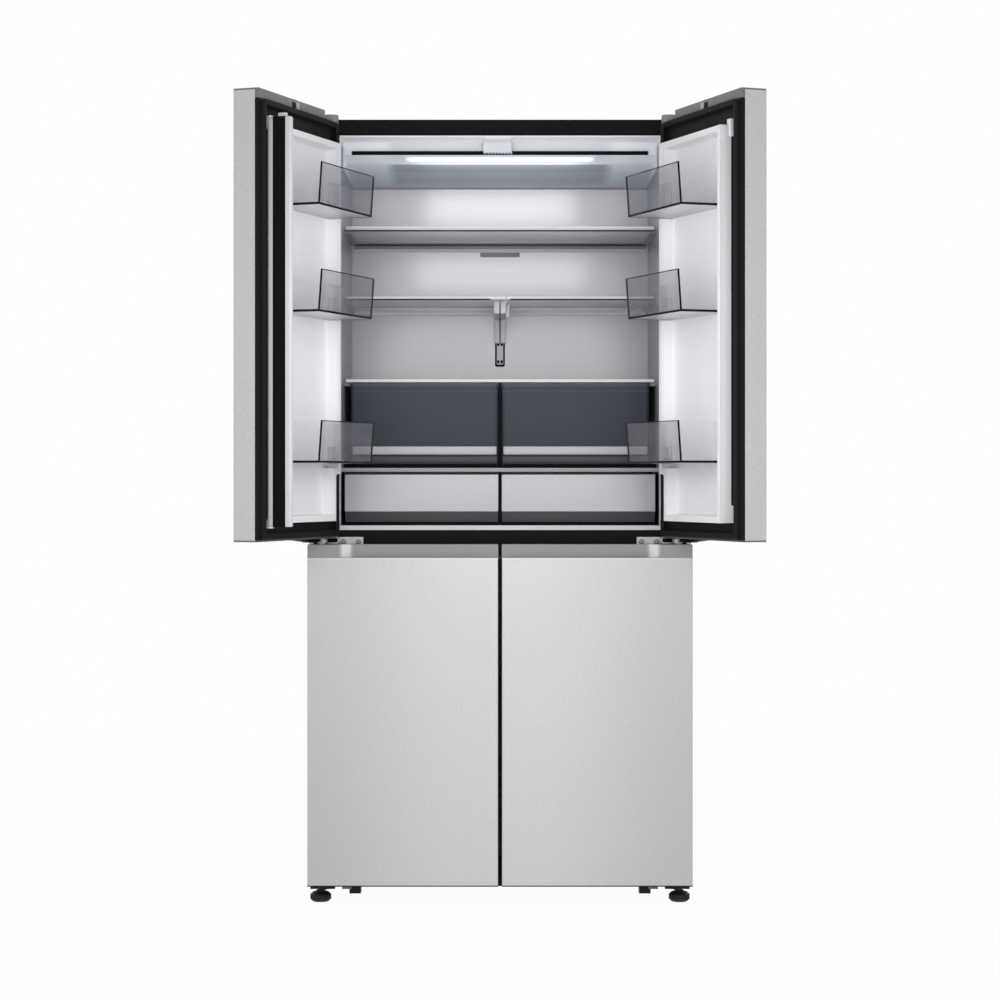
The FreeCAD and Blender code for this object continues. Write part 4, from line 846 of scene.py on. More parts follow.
class Recipe:
    """A Geometry Nodes tree with named inputs that sets a shape out many times."""

    def __init__(self, name: str, finish: Finish, **inputs: tuple[str, Any]) -> None:
        """Starts a tree.

        Args:
            name: The tree's name.
            finish: The finish of what it makes.
            inputs: For each input, its kind of socket and its value.
        """
        self.tree = bpy.data.node_groups.new(name, "GeometryNodeTree")
        self.finish = finish
        self.values: dict[str, Any] = {}
        face = self.tree.interface
        face.new_socket("Geometry", in_out="INPUT", socket_type="NodeSocketGeometry")
        for key, (kind, value) in inputs.items():
            socket = face.new_socket(key, in_out="INPUT", socket_type=f"NodeSocket{kind}")
            self.values[socket.identifier] = value
        face.new_socket("Geometry", in_out="OUTPUT", socket_type="NodeSocketGeometry")
        self.given = self.tree.nodes.new("NodeGroupInput").outputs

    def add(
        self, kind: str, inputs: Sockets = None, output: Key = 0, **settings: Any
    ) -> bpy.types.NodeSocket:
        """Adds one node and hands back one of its outputs."""
        return add_node(self.tree, kind, settings, inputs).outputs[output]

    def times(self, value: bpy.types.NodeSocket, share: float) -> bpy.types.NodeSocket:
        """A value multiplied by a share."""
        return self.add("ShaderNodeMath", {0: value, 1: share}, operation="MULTIPLY")

    def bake(
        self, shape: bpy.types.NodeSocket, name: str, body: str, spots: Sequence[Spot] = ()
    ) -> None:
        """Ends the tree, runs it and keeps the result as one plain mesh.

        Args:
            shape: The instances to realise.
            name: The piece's name.
            body: The body that it rides on.
            spots: Points that go into the tree, in millimetres.
        """
        solid = self.add("GeometryNodeRealizeInstances", {"Geometry": shape})
        sockets = {"Geometry": solid, "Material": self.finish.material()}
        solid = self.add("GeometryNodeSetMaterial", sockets)
        end = self.tree.nodes.new("NodeGroupOutput")
        self.tree.links.new(solid, end.inputs[0])
        data = bpy.data.meshes.new(name)
        data.from_pydata([Vector(spot) * MM for spot in spots], [], [])
        made = add_object(name, data)
        modifier = made.modifiers.new(self.tree.name, "NODES")
        modifier.node_group = self.tree
        for identifier, value in self.values.items():
            modifier[identifier] = value
        seen = made.evaluated_get(bpy.context.evaluated_depsgraph_get())
        mesh = bpy.data.meshes.new_from_object(seen)
        made.modifiers.remove(modifier)
        made.data = mesh
        settle(made, body, self.finish)


def metres(spot: Spot) -> tuple[str, Spot]:
    """A place in millimetres as an input of a recipe, in metres."""
    return "Vector", tuple(v * MM for v in spot)


class Facing(Enum):
    """Which way a screw head looks, as the tilt of its axis about X."""

    FRONT = math.pi / 2
    REAR = -math.pi / 2


@dataclass
class ScrewField:
    """Pan-head screws with a raised cross, set at given points and each turned by chance."""

    radius: float = 4.0
    height: float = 2.2
    seed: int = 7
    sides: int = 20
    top_share: float = 0.62
    bar_shares: Spot = (1.1, 0.2, 0.3)

    def build(self, name: str, spots: Sequence[Spot], facing: Facing, body: str) -> None:
        """Sets screws at the spots.

        Args:
            name: The piece's name.
            spots: The feet of the heads, in millimetres.
            facing: Which way the heads look.
            body: The body that they ride on.
        """
        recipe = Recipe(
            f"{name}_tree", SCREW_METAL,
            Radius=("Float", self.radius * MM), Height=("Float", self.height * MM),
            Tilt=("Float", facing.value), Seed=("Int", self.seed),
        )
        radius, height = recipe.given["Radius"], recipe.given["Height"]
        top = recipe.times(radius, self.top_share)
        sizes = {"Vertices": self.sides, "Radius Top": top, "Radius Bottom": radius, "Depth": height}
        head = recipe.add("GeometryNodeMeshCone", sizes)
        spans = zip("XYZ", (radius, radius, height), self.bar_shares)
        bar = recipe.add(
            "ShaderNodeCombineXYZ", {axis: recipe.times(value, share) for axis, value, share in spans}
        )
        bar = recipe.add("GeometryNodeMeshCube", {"Size": bar})
        lift = recipe.add("ShaderNodeCombineXYZ", {"Z": height})
        bar = recipe.add("GeometryNodeTransform", {"Geometry": bar, "Translation": lift})
        square = {"Geometry": bar, "Rotation": (0.0, 0.0, math.pi / 2)}
        cross = recipe.add("GeometryNodeTransform", square)
        screw = recipe.add("GeometryNodeJoinGeometry", {0: [head, bar, cross]})
        chance = {3: math.pi, "Seed": recipe.given["Seed"]}
        spin = recipe.add("FunctionNodeRandomValue", chance, 1, data_type="FLOAT")
        turn = recipe.add("ShaderNodeCombineXYZ", {"X": recipe.given["Tilt"], "Y": spin})
        turn = recipe.add("FunctionNodeEulerToRotation", {"Euler": turn})
        sockets = {"Points": recipe.given["Geometry"], "Instance": screw, "Rotation": turn}
        recipe.bake(recipe.add("GeometryNodeInstanceOnPoints", sockets), name, body, spots)


@dataclass
class Repeat:
    """Small blocks that a recipe sets out many times."""

    finish: Finish
    count: int
    size: Spot

    def start(self, name: str, **inputs: tuple[str, Any]) -> tuple[Recipe, bpy.types.NodeSocket]:
        """A recipe with the shared inputs and these, and the block that it repeats.

        Args:
            name: The piece's name.
            inputs: The recipe's other inputs.

        Returns:
            The recipe and the block's socket.
        """
        shared = {"Count": ("Int", self.count), "Size": metres(self.size)}
        recipe = Recipe(f"{name}_tree", self.finish, **shared, **inputs)
        return recipe, recipe.add("GeometryNodeMeshCube", {"Size": recipe.given["Size"]})


@dataclass
class FinRow(Repeat):
    """Small upright fins in a straight row."""

    first: Spot
    pitch: float

    def build(self, name: str, body: str) -> None:
        """Sets the row out along X.

        Args:
            name: The piece's name.
            body: The body that it rides on.
        """
        recipe, fin = self.start(name, First=metres(self.first), Step=metres((self.pitch, 0.0, 0.0)))
        given = recipe.given
        ends = {"Count": given["Count"], "Start Location": given["First"], "Offset": given["Step"]}
        row = recipe.add("GeometryNodeMeshLine", ends)
        fins = recipe.add("GeometryNodeInstanceOnPoints", {"Points": row, "Instance": fin})
        recipe.bake(fins, name, body)


@dataclass
class RibRing(Repeat):
    """Upright ribs round a turned knob."""

    radius: float

    def build(self, name: str, body: str, centre: Spot) -> None:
        """Sets the ribs round a centre, each facing outwards.

        Args:
            name: The piece's name.
            body: The body that it rides on.
            centre: The middle of the ring, in millimetres.
        """
        recipe, rib = self.start(name, Radius=("Float", self.radius * MM), Centre=metres(centre))
        given = recipe.given
        sizes = {"Vertices": given["Count"], "Radius": given["Radius"]}
        ring = recipe.add("GeometryNodeMeshCircle", sizes)
        outwards = {"Vector": recipe.add("GeometryNodeInputPosition")}
        turn = recipe.add("FunctionNodeAlignRotationToVector", outwards, axis="X", pivot_axis="Z")
        sockets = {"Points": ring, "Instance": rib, "Rotation": turn}
        ribs = recipe.add("GeometryNodeInstanceOnPoints", sockets)
        place = {"Geometry": ribs, "Translation": given["Centre"]}
        recipe.bake(recipe.add("GeometryNodeTransform", place), name, body)


@dataclass
class Door:
    """What the four doors share."""

    side: Side
    level: ClassVar[str] = ""

    @property
    def body(self) -> str:
        """The door's body."""
        return f"{self.level}_{self.side.word}_door"


@dataclass
class UpperDoor(Door):
    """An upper door with liner, gasket and three bins. Sizes are u along it, v inwards and z up."""

    dyke_end: float
    axis: Flat = (420.0, -358.0)
    opened: float = 110.0
    hinge_back: float = 30.0
    dyke_start: float = 44.0
    dyke_step: Flat = (72.0, 1014.0)
    dyke_z: Flat = (905.0, 1787.0)
    flange_u: Flat = (-28.0, 414.7)
    flange_v: Flat = (53.0, 62.0)
    flange_z: Flat = (867.0, 1844.0)
    hinge_notch: Flat = (58.0, 1840.0)
    seal_start: float = 3.0
    bin_u: Flat = (58.5, 354.0)
    bin_v: Flat = (66.3, 188.0)
    bin_levels: tuple[float, ...] = (1611.0, 1374.0, 1039.0)
    bin_height: float = 94.0
    bin_lean: float = 7.0
    bin_fall: float = 36.0
    corner: float = 18.0
    level: ClassVar[str] = "upper"

    def place(self, spot: Spot) -> Vector:
        """A place on the door, in metres, with the door open at rest.

        Args:
            spot: Its u, v and z, in millimetres.

        Returns:
            The place in the shared frame.
        """
        turn = math.radians(self.opened)
        along, inward = spot[0], spot[1] - self.hinge_back
        x = self.axis[0] - along * math.cos(turn) - inward * math.sin(turn)
        y = self.axis[1] - along * math.sin(turn) + inward * math.cos(turn)
        return self.side.place((x, y, spot[2]))

    def build(self) -> None:
        """Makes and dresses the whole door."""
        dress(DOOR_STEEL, f"{self.body}_shell")
        dress(TOP_CAP, f"{self.body}_caps")
        dress(DYKE_WHITE, f"{self.body}_liner")
        self.build_dyke()
        self.build_gasket()
        self.build_bins()
        self.build_cap_tab()
        self.build_closer()

    def build_dyke(self) -> None:
        """The moulded dyke: draughted walls, a rounded rim and a sunk floor."""
        profile = [
            (-0.4, 60.0), (-0.4, 88.0), (0.6, 93.0), (3.0, 96.5), (6.0, 97.6), (9.0, 97.2), (12.0, 95.0),
            (13.8, 91.0), (14.6, 84.0), (15.4, 72.0), (17.0, 68.4), (20.5, 66.8), (26.0, 66.4),
        ]
        (step_u, step_z), (low, high) = self.dyke_step, self.dyke_z
        corners = [
            (step_u, low), (self.dyke_end, low), (self.dyke_end, high),
            (self.dyke_start, high), (self.dyke_start, step_z), (step_u, step_z),
        ]
        mould = Mould(self.place)
        mould.sweep(corners, self.corner, profile, DYKE_WHITE, steps=6, axis=1)
        if self.side is Side.RIGHT:
            mould.blocks(
                ((360.0, 60.0, 1750.0), (379.0, 96.0, 1788.0), DYKE_WHITE, 3.0, 3),
                ((366.0, 60.0, 1762.0), (382.0, 75.0, 1802.0), DYKE_WHITE, 3.0, 3),
            )
        mould.piece(f"{self.body}_dyke", self.body)

    def build_gasket(self) -> None:
        """The black flange, its bellows gasket and, on the right, the strip that meets the pillar."""
        mould = Mould(self.place)
        (u0, u1), (z0, z1), (notch_u, notch_z) = self.flange_u, self.flange_z, self.hinge_notch
        corners = [(u0, z0), (u1, z0), (u1, z1), (notch_u, z1), (notch_u, notch_z), (u0, notch_z)]
        back, face = self.flange_v
        plate = [(0.0, back), (0.0, face - 1.0), (1.0, face)]
        mould.sweep(corners, 1.5, plate, SEAL_RUBBER, steps=2, axis=1)
        bellows = [
            (1.5, 61.0), (1.5, 64.0), (3.4, 65.5), (1.6, 67.4), (0.8, 70.0), (1.2, 73.5), (3.0, 75.3),
            (8.0, 75.6), (13.0, 75.3), (15.0, 73.5), (15.4, 70.0), (14.4, 67.4), (12.6, 65.5),
            (14.5, 64.0), (14.5, 61.0),
        ]
        corners = corners_of((self.seal_start, z0), (u1, z1))
        mould.sweep(corners, self.corner, bellows, SEAL_RUBBER, axis=1, ring=True)
        if self.side is Side.RIGHT:
            mould.block((377.0, 60.0, 944.0), (384.5, 70.0, 1762.0), SEAL_RUBBER, 2.4)
        mould.piece(f"{self.body}_gasket", self.body, f"{self.body}_seal")

    def build_bins(self) -> None:
        """Three bins: clear panels, sloping ends, dark edges of painted shade and a light tray with a
        small rib.
        """
        clear, edges, trays = Mould(self.place), Mould(self.place), Mould(self.place)
        (u0, u1), (v0, v1) = self.bin_u, self.bin_v
        for level in self.bin_levels:
            top = level + self.bin_height
            fall = 0.0 if level == self.bin_levels[-1] else self.bin_fall
            foot = v1 - self.bin_lean
            end = [
                (v0, level + 3), (foot - 3.4, level + 3),
                (v1 - 3.4, top - fall - 1), (v0, top - fall / 9 - 1),
            ]
            clear.loft(self.leaning((u0 + 1, 3.2), (u1 - 1, 0.2), (level + 2, top - 1)), BIN_CLEAR)
            for u in (u0, u1 - 2.6):
                clear.loft([[(w, v, z) for v, z in end] for w in (u, u + 2.6)], BIN_END)
            trays.blocks(
                ((u0, v0, level), (u1, foot - 3.4, level + 5.0), BIN_TRAY, 1.6),
                ((u1 - 96, foot - 12, level + 4), (u1 - 72, foot - 4, level + 36), BIN_TRAY, 2.0, 3),
            )
            for u in (u0, u1 - 2.4):
                edges.loft(self.leaning((u, 3.6), (u + 2.4, 0.0), (level, top)), BIN_EDGE)
                edges.block((u, v0, level - 0.4), (u + 2.8, foot - 3.6, level + 4.8), BIN_EDGE, 0.8)
            edges.block((u0, v1 - 3.6, top - 1.8), (u1, v1, top), BIN_EDGE, 0.7)
            edges.block((u0, foot - 3.6, level - 0.2), (u1, foot, level + 4.4), BIN_EDGE, 0.8)
        clear.piece(f"{self.body}_bin_panels", self.body, f"{self.body}_bins")
        edges.piece(f"{self.body}_bin_edges", self.body)
        trays.piece(f"{self.body}_bin_trays", self.body)

    def leaning(self, near: Flat, far: Flat, heights: Flat) -> list[list[Spot]]:
        """Two loops of an upright bar or panel that leans with the bins' fronts.

        Args:
            near: Where it starts along the door, and how deep its back lies behind the front.
            far: Where it ends along the door, and how deep its front lies.
            heights: Its foot and its top.

        Returns:
            The loop at the foot and the loop at the top.
        """
        front = self.bin_v[1]
        flat = corners_of((near[0], front - near[1]), (far[0], front - far[1]))
        return [[(u, v - lean, z) for u, v in flat] for lean, z in zip((self.bin_lean, 0.0), heights)]

    def build_cap_tab(self) -> None:
        """The small catch in the lip of the top cap: a dark recess with a pale tab beside it."""
        Mould(self.place).blocks(
            ((218.0, 57.0, 1845.0), (240.0, 62.6, 1860.0), DARK_PLASTIC),
            ((203.0, 57.0, 1844.5), (218.5, 64.0, 1862.0), TAB_GREY, 1.6, 3),
            ((208.0, 50.0, 1864.0), (226.0, 60.0, 1868.0), TAB_GREY, 1.4, 3),
        ).piece(f"{self.body}_cap_tab", self.body)

    def build_closer(self) -> None:
        """The door closer under the bottom cap: a block with a roller and a tail that thins out."""
        mould = Mould(self.place)
        mould.block((22.0, 8.0, 853.5), (70.0, 34.0, 863.4), DARK_PLASTIC, 1.6)
        tail = []
        for u, low in ((66.0, 854.5), (110.0, 858.0), (152.0, 861.6)):
            tail.append([(u, v, z) for v, z in corners_of((10.0, low), (32.0, 863.4))])
        mould.loft(tail, DARK_PLASTIC)
        roller = [(3.6, 0.0), (4.4, 0.6), (4.4, 4.6), (3.6, 5.2)]
        mould.lathe(roller, (40.0, 20.0, 849.6), HINGE_METAL, 24)
        mould.piece(f"{self.body}_closer", self.body)


@dataclass
class LowerDoor(Door):
    """A lower door, closed: steel shell, set-back grip, liner and gasket."""

    width: Flat = (4.3, 454.0)
    face_y: float = -388.0
    back_y: float = -335.0
    low_z: float = 43.0
    grip_z: float = 816.5
    seal_top: float = 844.0
    level: ClassVar[str] = "lower"

    def build(self) -> None:
        """Dresses the door's nodes and adds its thin trims: a bottom strip, a grey line of painted
        shadow and a white line of painted highlight under the grip, a dark strip of painted shade on the
        side at the centre gap, and a rubber strip behind that gap.
        """
        dress(DOOR_STEEL, f"{self.body}_shell")
        dress(GRIP_METAL, f"{self.body}_grip")
        dress(PLAIN_WHITE, f"{self.body}_liner")
        dress(SEAL_RUBBER, f"{self.body}_seal")
        x0, x1 = self.width
        front, back, low, grip = self.face_y, self.back_y, self.low_z, self.grip_z
        Mould(self.side.place).blocks(
            ((x0, front - 0.2, low - 0.8), (x1, back, low + 2.4), MACHINE_BLACK, 0.8),
            # Painted shadow and highlight: a grey line in the joint under the grip, and beneath it a
            # white line on the shell's top edge.
            ((x0, front - 0.25, grip - 0.6), (x1, front + 3, grip + 1.2), CAP_GREY, 0.5),
            ((x0, front - 0.25, grip - 2.8), (x1, front + 3, grip - 0.7), PLAIN_WHITE, 0.6),
            # Painted shade: a dark strip on the door's side at the centre gap.
            ((x0 - 0.3, front + 1.4, low), (x0 + 0.7, back, grip), DARK_PLASTIC, 0.3),
            ((0.5, back - 1.5, low - 7.5), (x0 + 4, back + 3.5, self.seal_top), SEAL_RUBBER, 0.8),
        ).piece(f"{self.body}_trims", self.body)


@dataclass
class Pillar:
    """The folding centre pillar on the left door, in the door's own directions."""

    door: UpperDoor
    depth: Flat = (382.0, 398.0)
    width: Flat = (76.0, 131.0)
    strip: Flat = (88.0, 119.0)
    height: Flat = (897.0, 1802.0)

    def build(self) -> None:
        """A white body with a dark strip on its face and a guide nub on its top."""
        (back, face), (v0, v1), (low, high) = self.depth, self.width, self.height
        s0, s1 = self.strip
        Mould(self.door.place).blocks(
            ((back, v0, low), (face, v1, high), PILLAR_WHITE, 3.2, 4),
            ((face - 3, s0, low - 0.3), (face + 0.4, s1, high + 0.3), DARK_PLASTIC, 0.8),
            ((back + 2, s0 + 11, high - 2), (face - 4, s1, high + 9), PILLAR_WHITE, 2.0, 3),
        ).piece("centre_pillar", "pillar", "pillar_body", "pillar_strip")


@dataclass
class Cabinet:
    """The outer wrap, frame, liners, hinges, feet and rollers."""

    plate_face: float = -315.0
    plate_screws: tuple[Flat, ...] = ((337.6, 852.6), (373.0, 852.6))
    rear_face: float = 312.0
    rear_screws: tuple[float, ...] = (310.0, 700.0, 1090.0, 1480.0, 1848.0)
    cover_screws: Flat = (56.0, 286.0)
    rear_columns: tuple[float, ...] = (-444.0, -150.0, 150.0, 444.0)
    foot: Spot = (426.0, -334.0, 11.5)

    def build(self) -> None:
        """Makes and dresses the cabinet."""
        dress(CABINET_PAINT, "cabinet_wrap")
        dress(ZINC_SHEET, "cabinet_back")
        dress(MACHINE_BLACK, "cabinet_base", "bottom_hinges")
        dress(FRAME_BLACK, "front_frame")
        dress(LINER_WHITE, "fridge_liner")
        dress(PLAIN_WHITE, "freezer_liner")
        dress(FOAM, "insulation")
        dress(COVER_METAL, "top_hinges")
        dress(HINGE_METAL, "mid_hinges")
        for side in Side:
            dress(FOOT_BLACK, f"front_{side.word}_foot", f"rear_{side.word}_roller")
            self.build_cradle(side)
            self.build_hinge_cover(side)
            ribs = RibRing(FOOT_BLACK, count=28, radius=24.0, size=(1.8, 2.8, 11.0))
            x, y, z = self.foot
            ribs.build(f"{side.word}_foot_ribs", f"{side.word}_foot", (side.value * x, y, z))
        self.build_guard()
        self.build_screws()

    def build_guard(self) -> None:
        """The dark plate under the front frame, behind the gap between the lower doors."""
        plate = ((-9.0, -311.8, 31.0), (9.0, -308.0, 52.0), MACHINE_BLACK, 1.2)
        Mould().blocks(plate).piece("gap_guard", "cabinet")

    def build_cradle(self, side: Side) -> None:
        """The bracket beside each middle hinge pin and the pale tab between foot and skid.

        Args:
            side: The side that it is made for.
        """
        Mould(side.place).blocks(
            ((382.0, -350.0, 849.0), (385.4, -314.0, 862.4), HINGE_METAL, 0.8),
            ((408.0, -350.0, 849.0), (411.0, -314.0, 862.4), HINGE_METAL, 0.8),
            ((382.0, -350.0, 849.0), (411.0, -314.0, 852.6), HINGE_METAL, 0.8),
            ((385.0, -346.0, 852.0), (408.4, -314.0, 861.0), DARK_PLASTIC),
            ((354.0, -309.5, 23.6), (377.0, -300.0, 46.5), TAB_GREY),
        ).piece(f"{side.word}_hinge_cradle", "cabinet")

    def build_hinge_cover(self, side: Side) -> None:
        """The rounded cover over each top hinge, in front of the frame and in the notch of the door.

        Args:
            side: The side that it is made for.
        """
        mould = Mould(side.place)
        corners = corners_of((384.0, -352.4), (418.6, -312.6))
        profile = [
            (1.8, 1845.6), (0.4, 1846.2), (0.0, 1847.6), (0.0, 1864.8), (0.4, 1866.2), (1.8, 1866.8),
        ]
        mould.sweep(corners, 11.0, profile, COVER_METAL, steps=6)
        mould.piece(f"{side.word}_hinge_cover", "cabinet")

    def build_screws(self) -> None:
        """Screws on the middle hinge plates and round the rear sheets."""
        signs = [side.value for side in Side]
        spots = [(sign * x, self.plate_face, z) for sign in signs for x, z in self.plate_screws]
        ScrewField(radius=6.4, height=2.6).build("hinge_screws", spots, Facing.FRONT, "cabinet")
        columns, face = self.rear_columns, self.rear_face
        spots = [(x, face, z) for x in (columns[0], columns[-1]) for z in self.rear_screws]
        spots += [(x, face, z) for x in columns for z in self.cover_screws]
        ScrewField().build("rear_screws", spots, Facing.REAR, "cabinet")


@dataclass
class Interior:
    """Everything fixed inside the fridge compartment."""

    panel_face: float = 157.0
    shelf_half: float = 376.0
    upper_level: float = 1614.0
    half_level: float = 1442.9
    vent: Spot = (50.5, 1574.5, 1585.5)
    trim_front: float = -181.5
    trim_back: float = -170.0

    def build(self) -> None:
        """Makes and dresses the fittings."""
        dress(REAR_METAL, "rear_duct_panel")
        dress(LAMP_GREY, "lamp_housing")
        dress(LAMP, "led_strip")
        dress(DARK_PLASTIC, "air_slots", "drawer_divider")
        dress(GUIDE_GREY, "pillar_guide")
        dress(SHELF_GLASS, "upper_shelf_glass", "half_shelf_glass", "crisper_cover_glass")
        dress(TRIM_METAL, "shelf_trims")
        dress(DECK_GREY, "drawer_deck")
        fins = FinRow(
            LIGHT_PLASTIC, count=9, first=(-36.0, -221.4, 1792.5), pitch=8.0, size=(2.2, 1.6, 6.0),
        )
        fins.build("slot_fins", "cabinet")
        self.build_rear_strips()
        self.build_bracket()

    def build_rear_strips(self) -> None:
        """Strips behind the shelves, beside the lamp and along the deck, and the vent bar's cover; two
        grey strips are a painted shadow under the upper shelf, and dark blocks beside the crispers' feet
        are painted shade.
        """
        mould = Mould()
        face, half, front, back = self.panel_face, self.shelf_half, self.trim_front, self.trim_back
        level = self.upper_level
        mould.blocks(
            ((-half, face - 10, level - 7), (half, face - 0.5, level - 3), VENT_GREY),
            ((-half, face - 10, level - 11.2), (half, face - 0.5, level - 7), BASE_GREY, 1.2),
            # Painted shadow: these two grey strips on the rear panel stand in for the upper shelf's
            # shadow.
            ((-half, face - 4, level - 19), (half, face + 0.5, level - 11), VENT_GREY),
            ((-half, face - 3, level - 27), (half, face + 0.5, level - 18.6), SHADOW_STRIP_GREY),
            ((-half, front - 1, level - 3.8), (half, back + 2, level - 0.9), TRIM_METAL, 0.8),
            ((-half, front, level - 6.8), (half, back, level - 3.6), BASE_GREY, 0.8),
        )
        level = self.half_level
        for x0, x1 in mirrored(24.0, half):
            mould.blocks(
                ((x0, face - 7, level - 19), (x1, face + 0.5, level - 7), LIGHT_PLASTIC, 2.0),
                ((x0, front, level - 3.5), (x1, back, level - 1), DARK_PLASTIC, 0.8),
            )
        across, low, high = self.vent
        mould.blocks(
            ((-across, face - 5.2, low), (across, face + 0.5, high), VENT_GREY, 1.2),
            ((-380.0, -286.6, 1019.8), (380.0, -282.0, 1022.6), DECK_GREY, 0.6),
        )
        for x0, x1 in mirrored(377.0, 381.2):
            mould.block((x0, -218.5, 1752.0), (x1, face, 1818.0), LIGHT_PLASTIC)
        # Painted shade: dark blocks carry the crispers' foot strips of painted shade out to the side
        # walls.
        for x0, x1 in mirrored(364.6, 380.4):
            mould.block((x0, -186.0, 1029.2), (x1, back, 1038.8), DARK_PLASTIC, 0.8)
        mould.piece("rear_strips", "cabinet")

    def build_bracket(self) -> None:
        """The centre bracket: split arms, a split body and a slotted rail on the rear panel."""
        mould = Mould()
        face, level = self.panel_face, self.half_level
        for x0, x1 in mirrored(0.9, 15.0):
            mould.blocks(
                ((x0, -97.0, level - 31), (x1, face - 14, level - 0.2), LIGHT_PLASTIC, 2.0),
                ((x0, face - 26, level - 92), (x1, face, level - 26), LIGHT_PLASTIC, 2.0),
            )
        mould.blocks(
            ((-1.4, -95.0, level - 29), (1.4, face - 14, level - 0.6), DARK_PLASTIC, 0.6),
            ((-1.4, face - 25, level - 90), (1.4, face, level - 24), DARK_PLASTIC, 0.6),
            ((15.0, -70.0, level - 40), (24.0, -58.0, level - 6), LIGHT_PLASTIC, 2.0),
            ((-12.4, face - 10, level - 151), (12.4, face, level - 88), DARK_PLASTIC, 4.0, 4),
            ((-8.8, face - 12, level - 147), (8.8, face - 4, level - 88), LIGHT_PLASTIC, 3.0, 3),
        )
        for x0, x1 in mirrored(1.6, 7.2):
            for z in (level - 98, level - 143):
                mould.block((x0, face - 12.6, z), (x1, face - 9, z + 8), DARK_PLASTIC, 0.5)
        mould.piece("shelf_bracket", "cabinet", "ladder_rail")


@dataclass
class Drawers:
    """Crispers and pantry drawers that slide, and the freezer's drawers."""

    crisper_x: Flat = (4.0, 364.0)
    crisper_y: Flat = (-180.0, 145.0)
    crisper_z: Flat = (1029.3, 1234.0)
    strip_z: Flat = (1061.3, 1082.3)
    wall: float = 3.0
    corner: float = 10.0
    pantry_x: Flat = (4.0, 372.4)
    pantry_y: Flat = (-283.0, -275.5)
    pantry_z: tuple[float, float, float, float] = (891.9, 899.5, 924.4, 1013.3)
    freezer_x: Flat = (20.3, 380.7)
    freezer_front: float = -286.0
    freezer_tops: tuple[float, ...] = (312.0, 560.0, 808.0)

    def build(self) -> None:
        """Makes and dresses all drawers."""
        for side in Side:
            self.build_crisper(side)
            self.build_freezer_handles(side)
            dress(SMOKED, f"pantry_{side.word}")
            self.build_pantry_front(side)
            dress(FREEZER_CLEAR, f"freezer_drawers_{side.word}")

    def build_crisper(self, side: Side) -> None:
        """A smoked tub with draughted walls, a paler rim, a light handle strip and a black strip of
        painted shade along its foot.

        Args:
            side: The side that it is made for.
        """
        mould = Mould(side.place)
        corners = corners_of(*zip(self.crisper_x, self.crisper_y))
        low, high = self.crisper_z
        wall, corner = self.wall, self.corner
        profile = [
            (6.0, low), (2.5, low + 1.5), (1.0, low + 6), (0.0, high - 6), (0.0, high),
            (wall, high), (wall, high - 6), (wall + 1, low + 8), (wall + 5, low + wall),
        ]
        mould.sweep(corners, corner, profile, SMOKED, steps=4)
        for top, depth in ((high - 0.4, 6.0), (high - 15.0, 3.0)):
            rim = [(-0.5, top - depth), (-0.5, top), (wall + 0.4, top), (wall + 0.4, top - depth)]
            mould.sweep(corners, corner, rim, SMOKED_RIM, steps=4, ring=True)
        (x0, x1), front = self.crisper_x, self.crisper_y[0]
        strip_low, strip_high = self.strip_z
        mould.blocks(
            ((x0 + 4, front - 8, strip_low), (x1 - 4, front + 1, strip_high), FRONT_METAL, 3.0, 3),
            ((x0 + 3, front - 1.2, low + 14), (x1 - 3, front + 1, strip_low - 4), SMOKED_RIM),
            # Painted shade: a black strip along the foot of the front, standing in for the shadow gap
            # under the tub.
            ((x0 + 4, front - 0.2, low + 0.2), (x1 - 4, front + 3, low + 9.8), DARK_PLASTIC, 0.8),
        )
        mould.piece(f"{side.word}_crisper_tub", f"{side.word}_crisper", f"crisper_{side.word}")

    def build_pantry_front(self, side: Side) -> None:
        """A brushed front over a dark base strip, with a black strip of painted shade at its foot.

        Args:
            side: The side that it is made for.
        """
        (x0, x1), (y0, y1) = self.pantry_x, self.pantry_y
        foot, low, join, high = self.pantry_z
        Mould(side.place).blocks(
            ((x0, y0, join), (x1, y1, high), FRONT_METAL, 1.6, 3),
            ((x0 + 1, y0 + 1.5, low), (x1 - 1, y1, join + 1), BASE_GREY, 1.6),
            # Painted shade: a black strip at the foot of the front, standing in for the shadow gap under
            # the drawer.
            ((x0 + 1, y1 - 3, foot), (x1 - 1, y1, low + 0.6), DARK_PLASTIC, 0.8),
        ).piece(f"{side.word}_pantry_panel", f"{side.word}_pantry", f"pantry_{side.word}_front")

    def build_freezer_handles(self, side: Side) -> None:
        """A handle rail with a finger gap on the front of each freezer drawer.

        Args:
            side: The side that it is made for.
        """
        mould = Mould(side.place)
        (x0, x1), front = self.freezer_x, self.freezer_front
        for top in self.freezer_tops:
            mould.blocks(
                ((x0 + 8, front - 4, top - 40), (x1 - 8, front + 1, top - 4), PLAIN_WHITE, 2.4, 3),
                ((x0 + 90, front - 4.6, top - 34), (x1 - 90, front - 2, top - 14), CAP_GREY, 2.0),
            )
        mould.piece(f"{side.word}_freezer_handles", "cabinet")


@dataclass
class Machine:
    """The compartment at the rear of the base."""

    def build(self) -> None:
        """Dresses the machinery."""
        dress(MACHINE_BLACK, "compressor", "fan_motor")
        dress(FIN_METAL, "condenser")
        dress(DARK_PLASTIC, "condenser_fan")
        dress(ZINC_SHEET, "machine_cover")


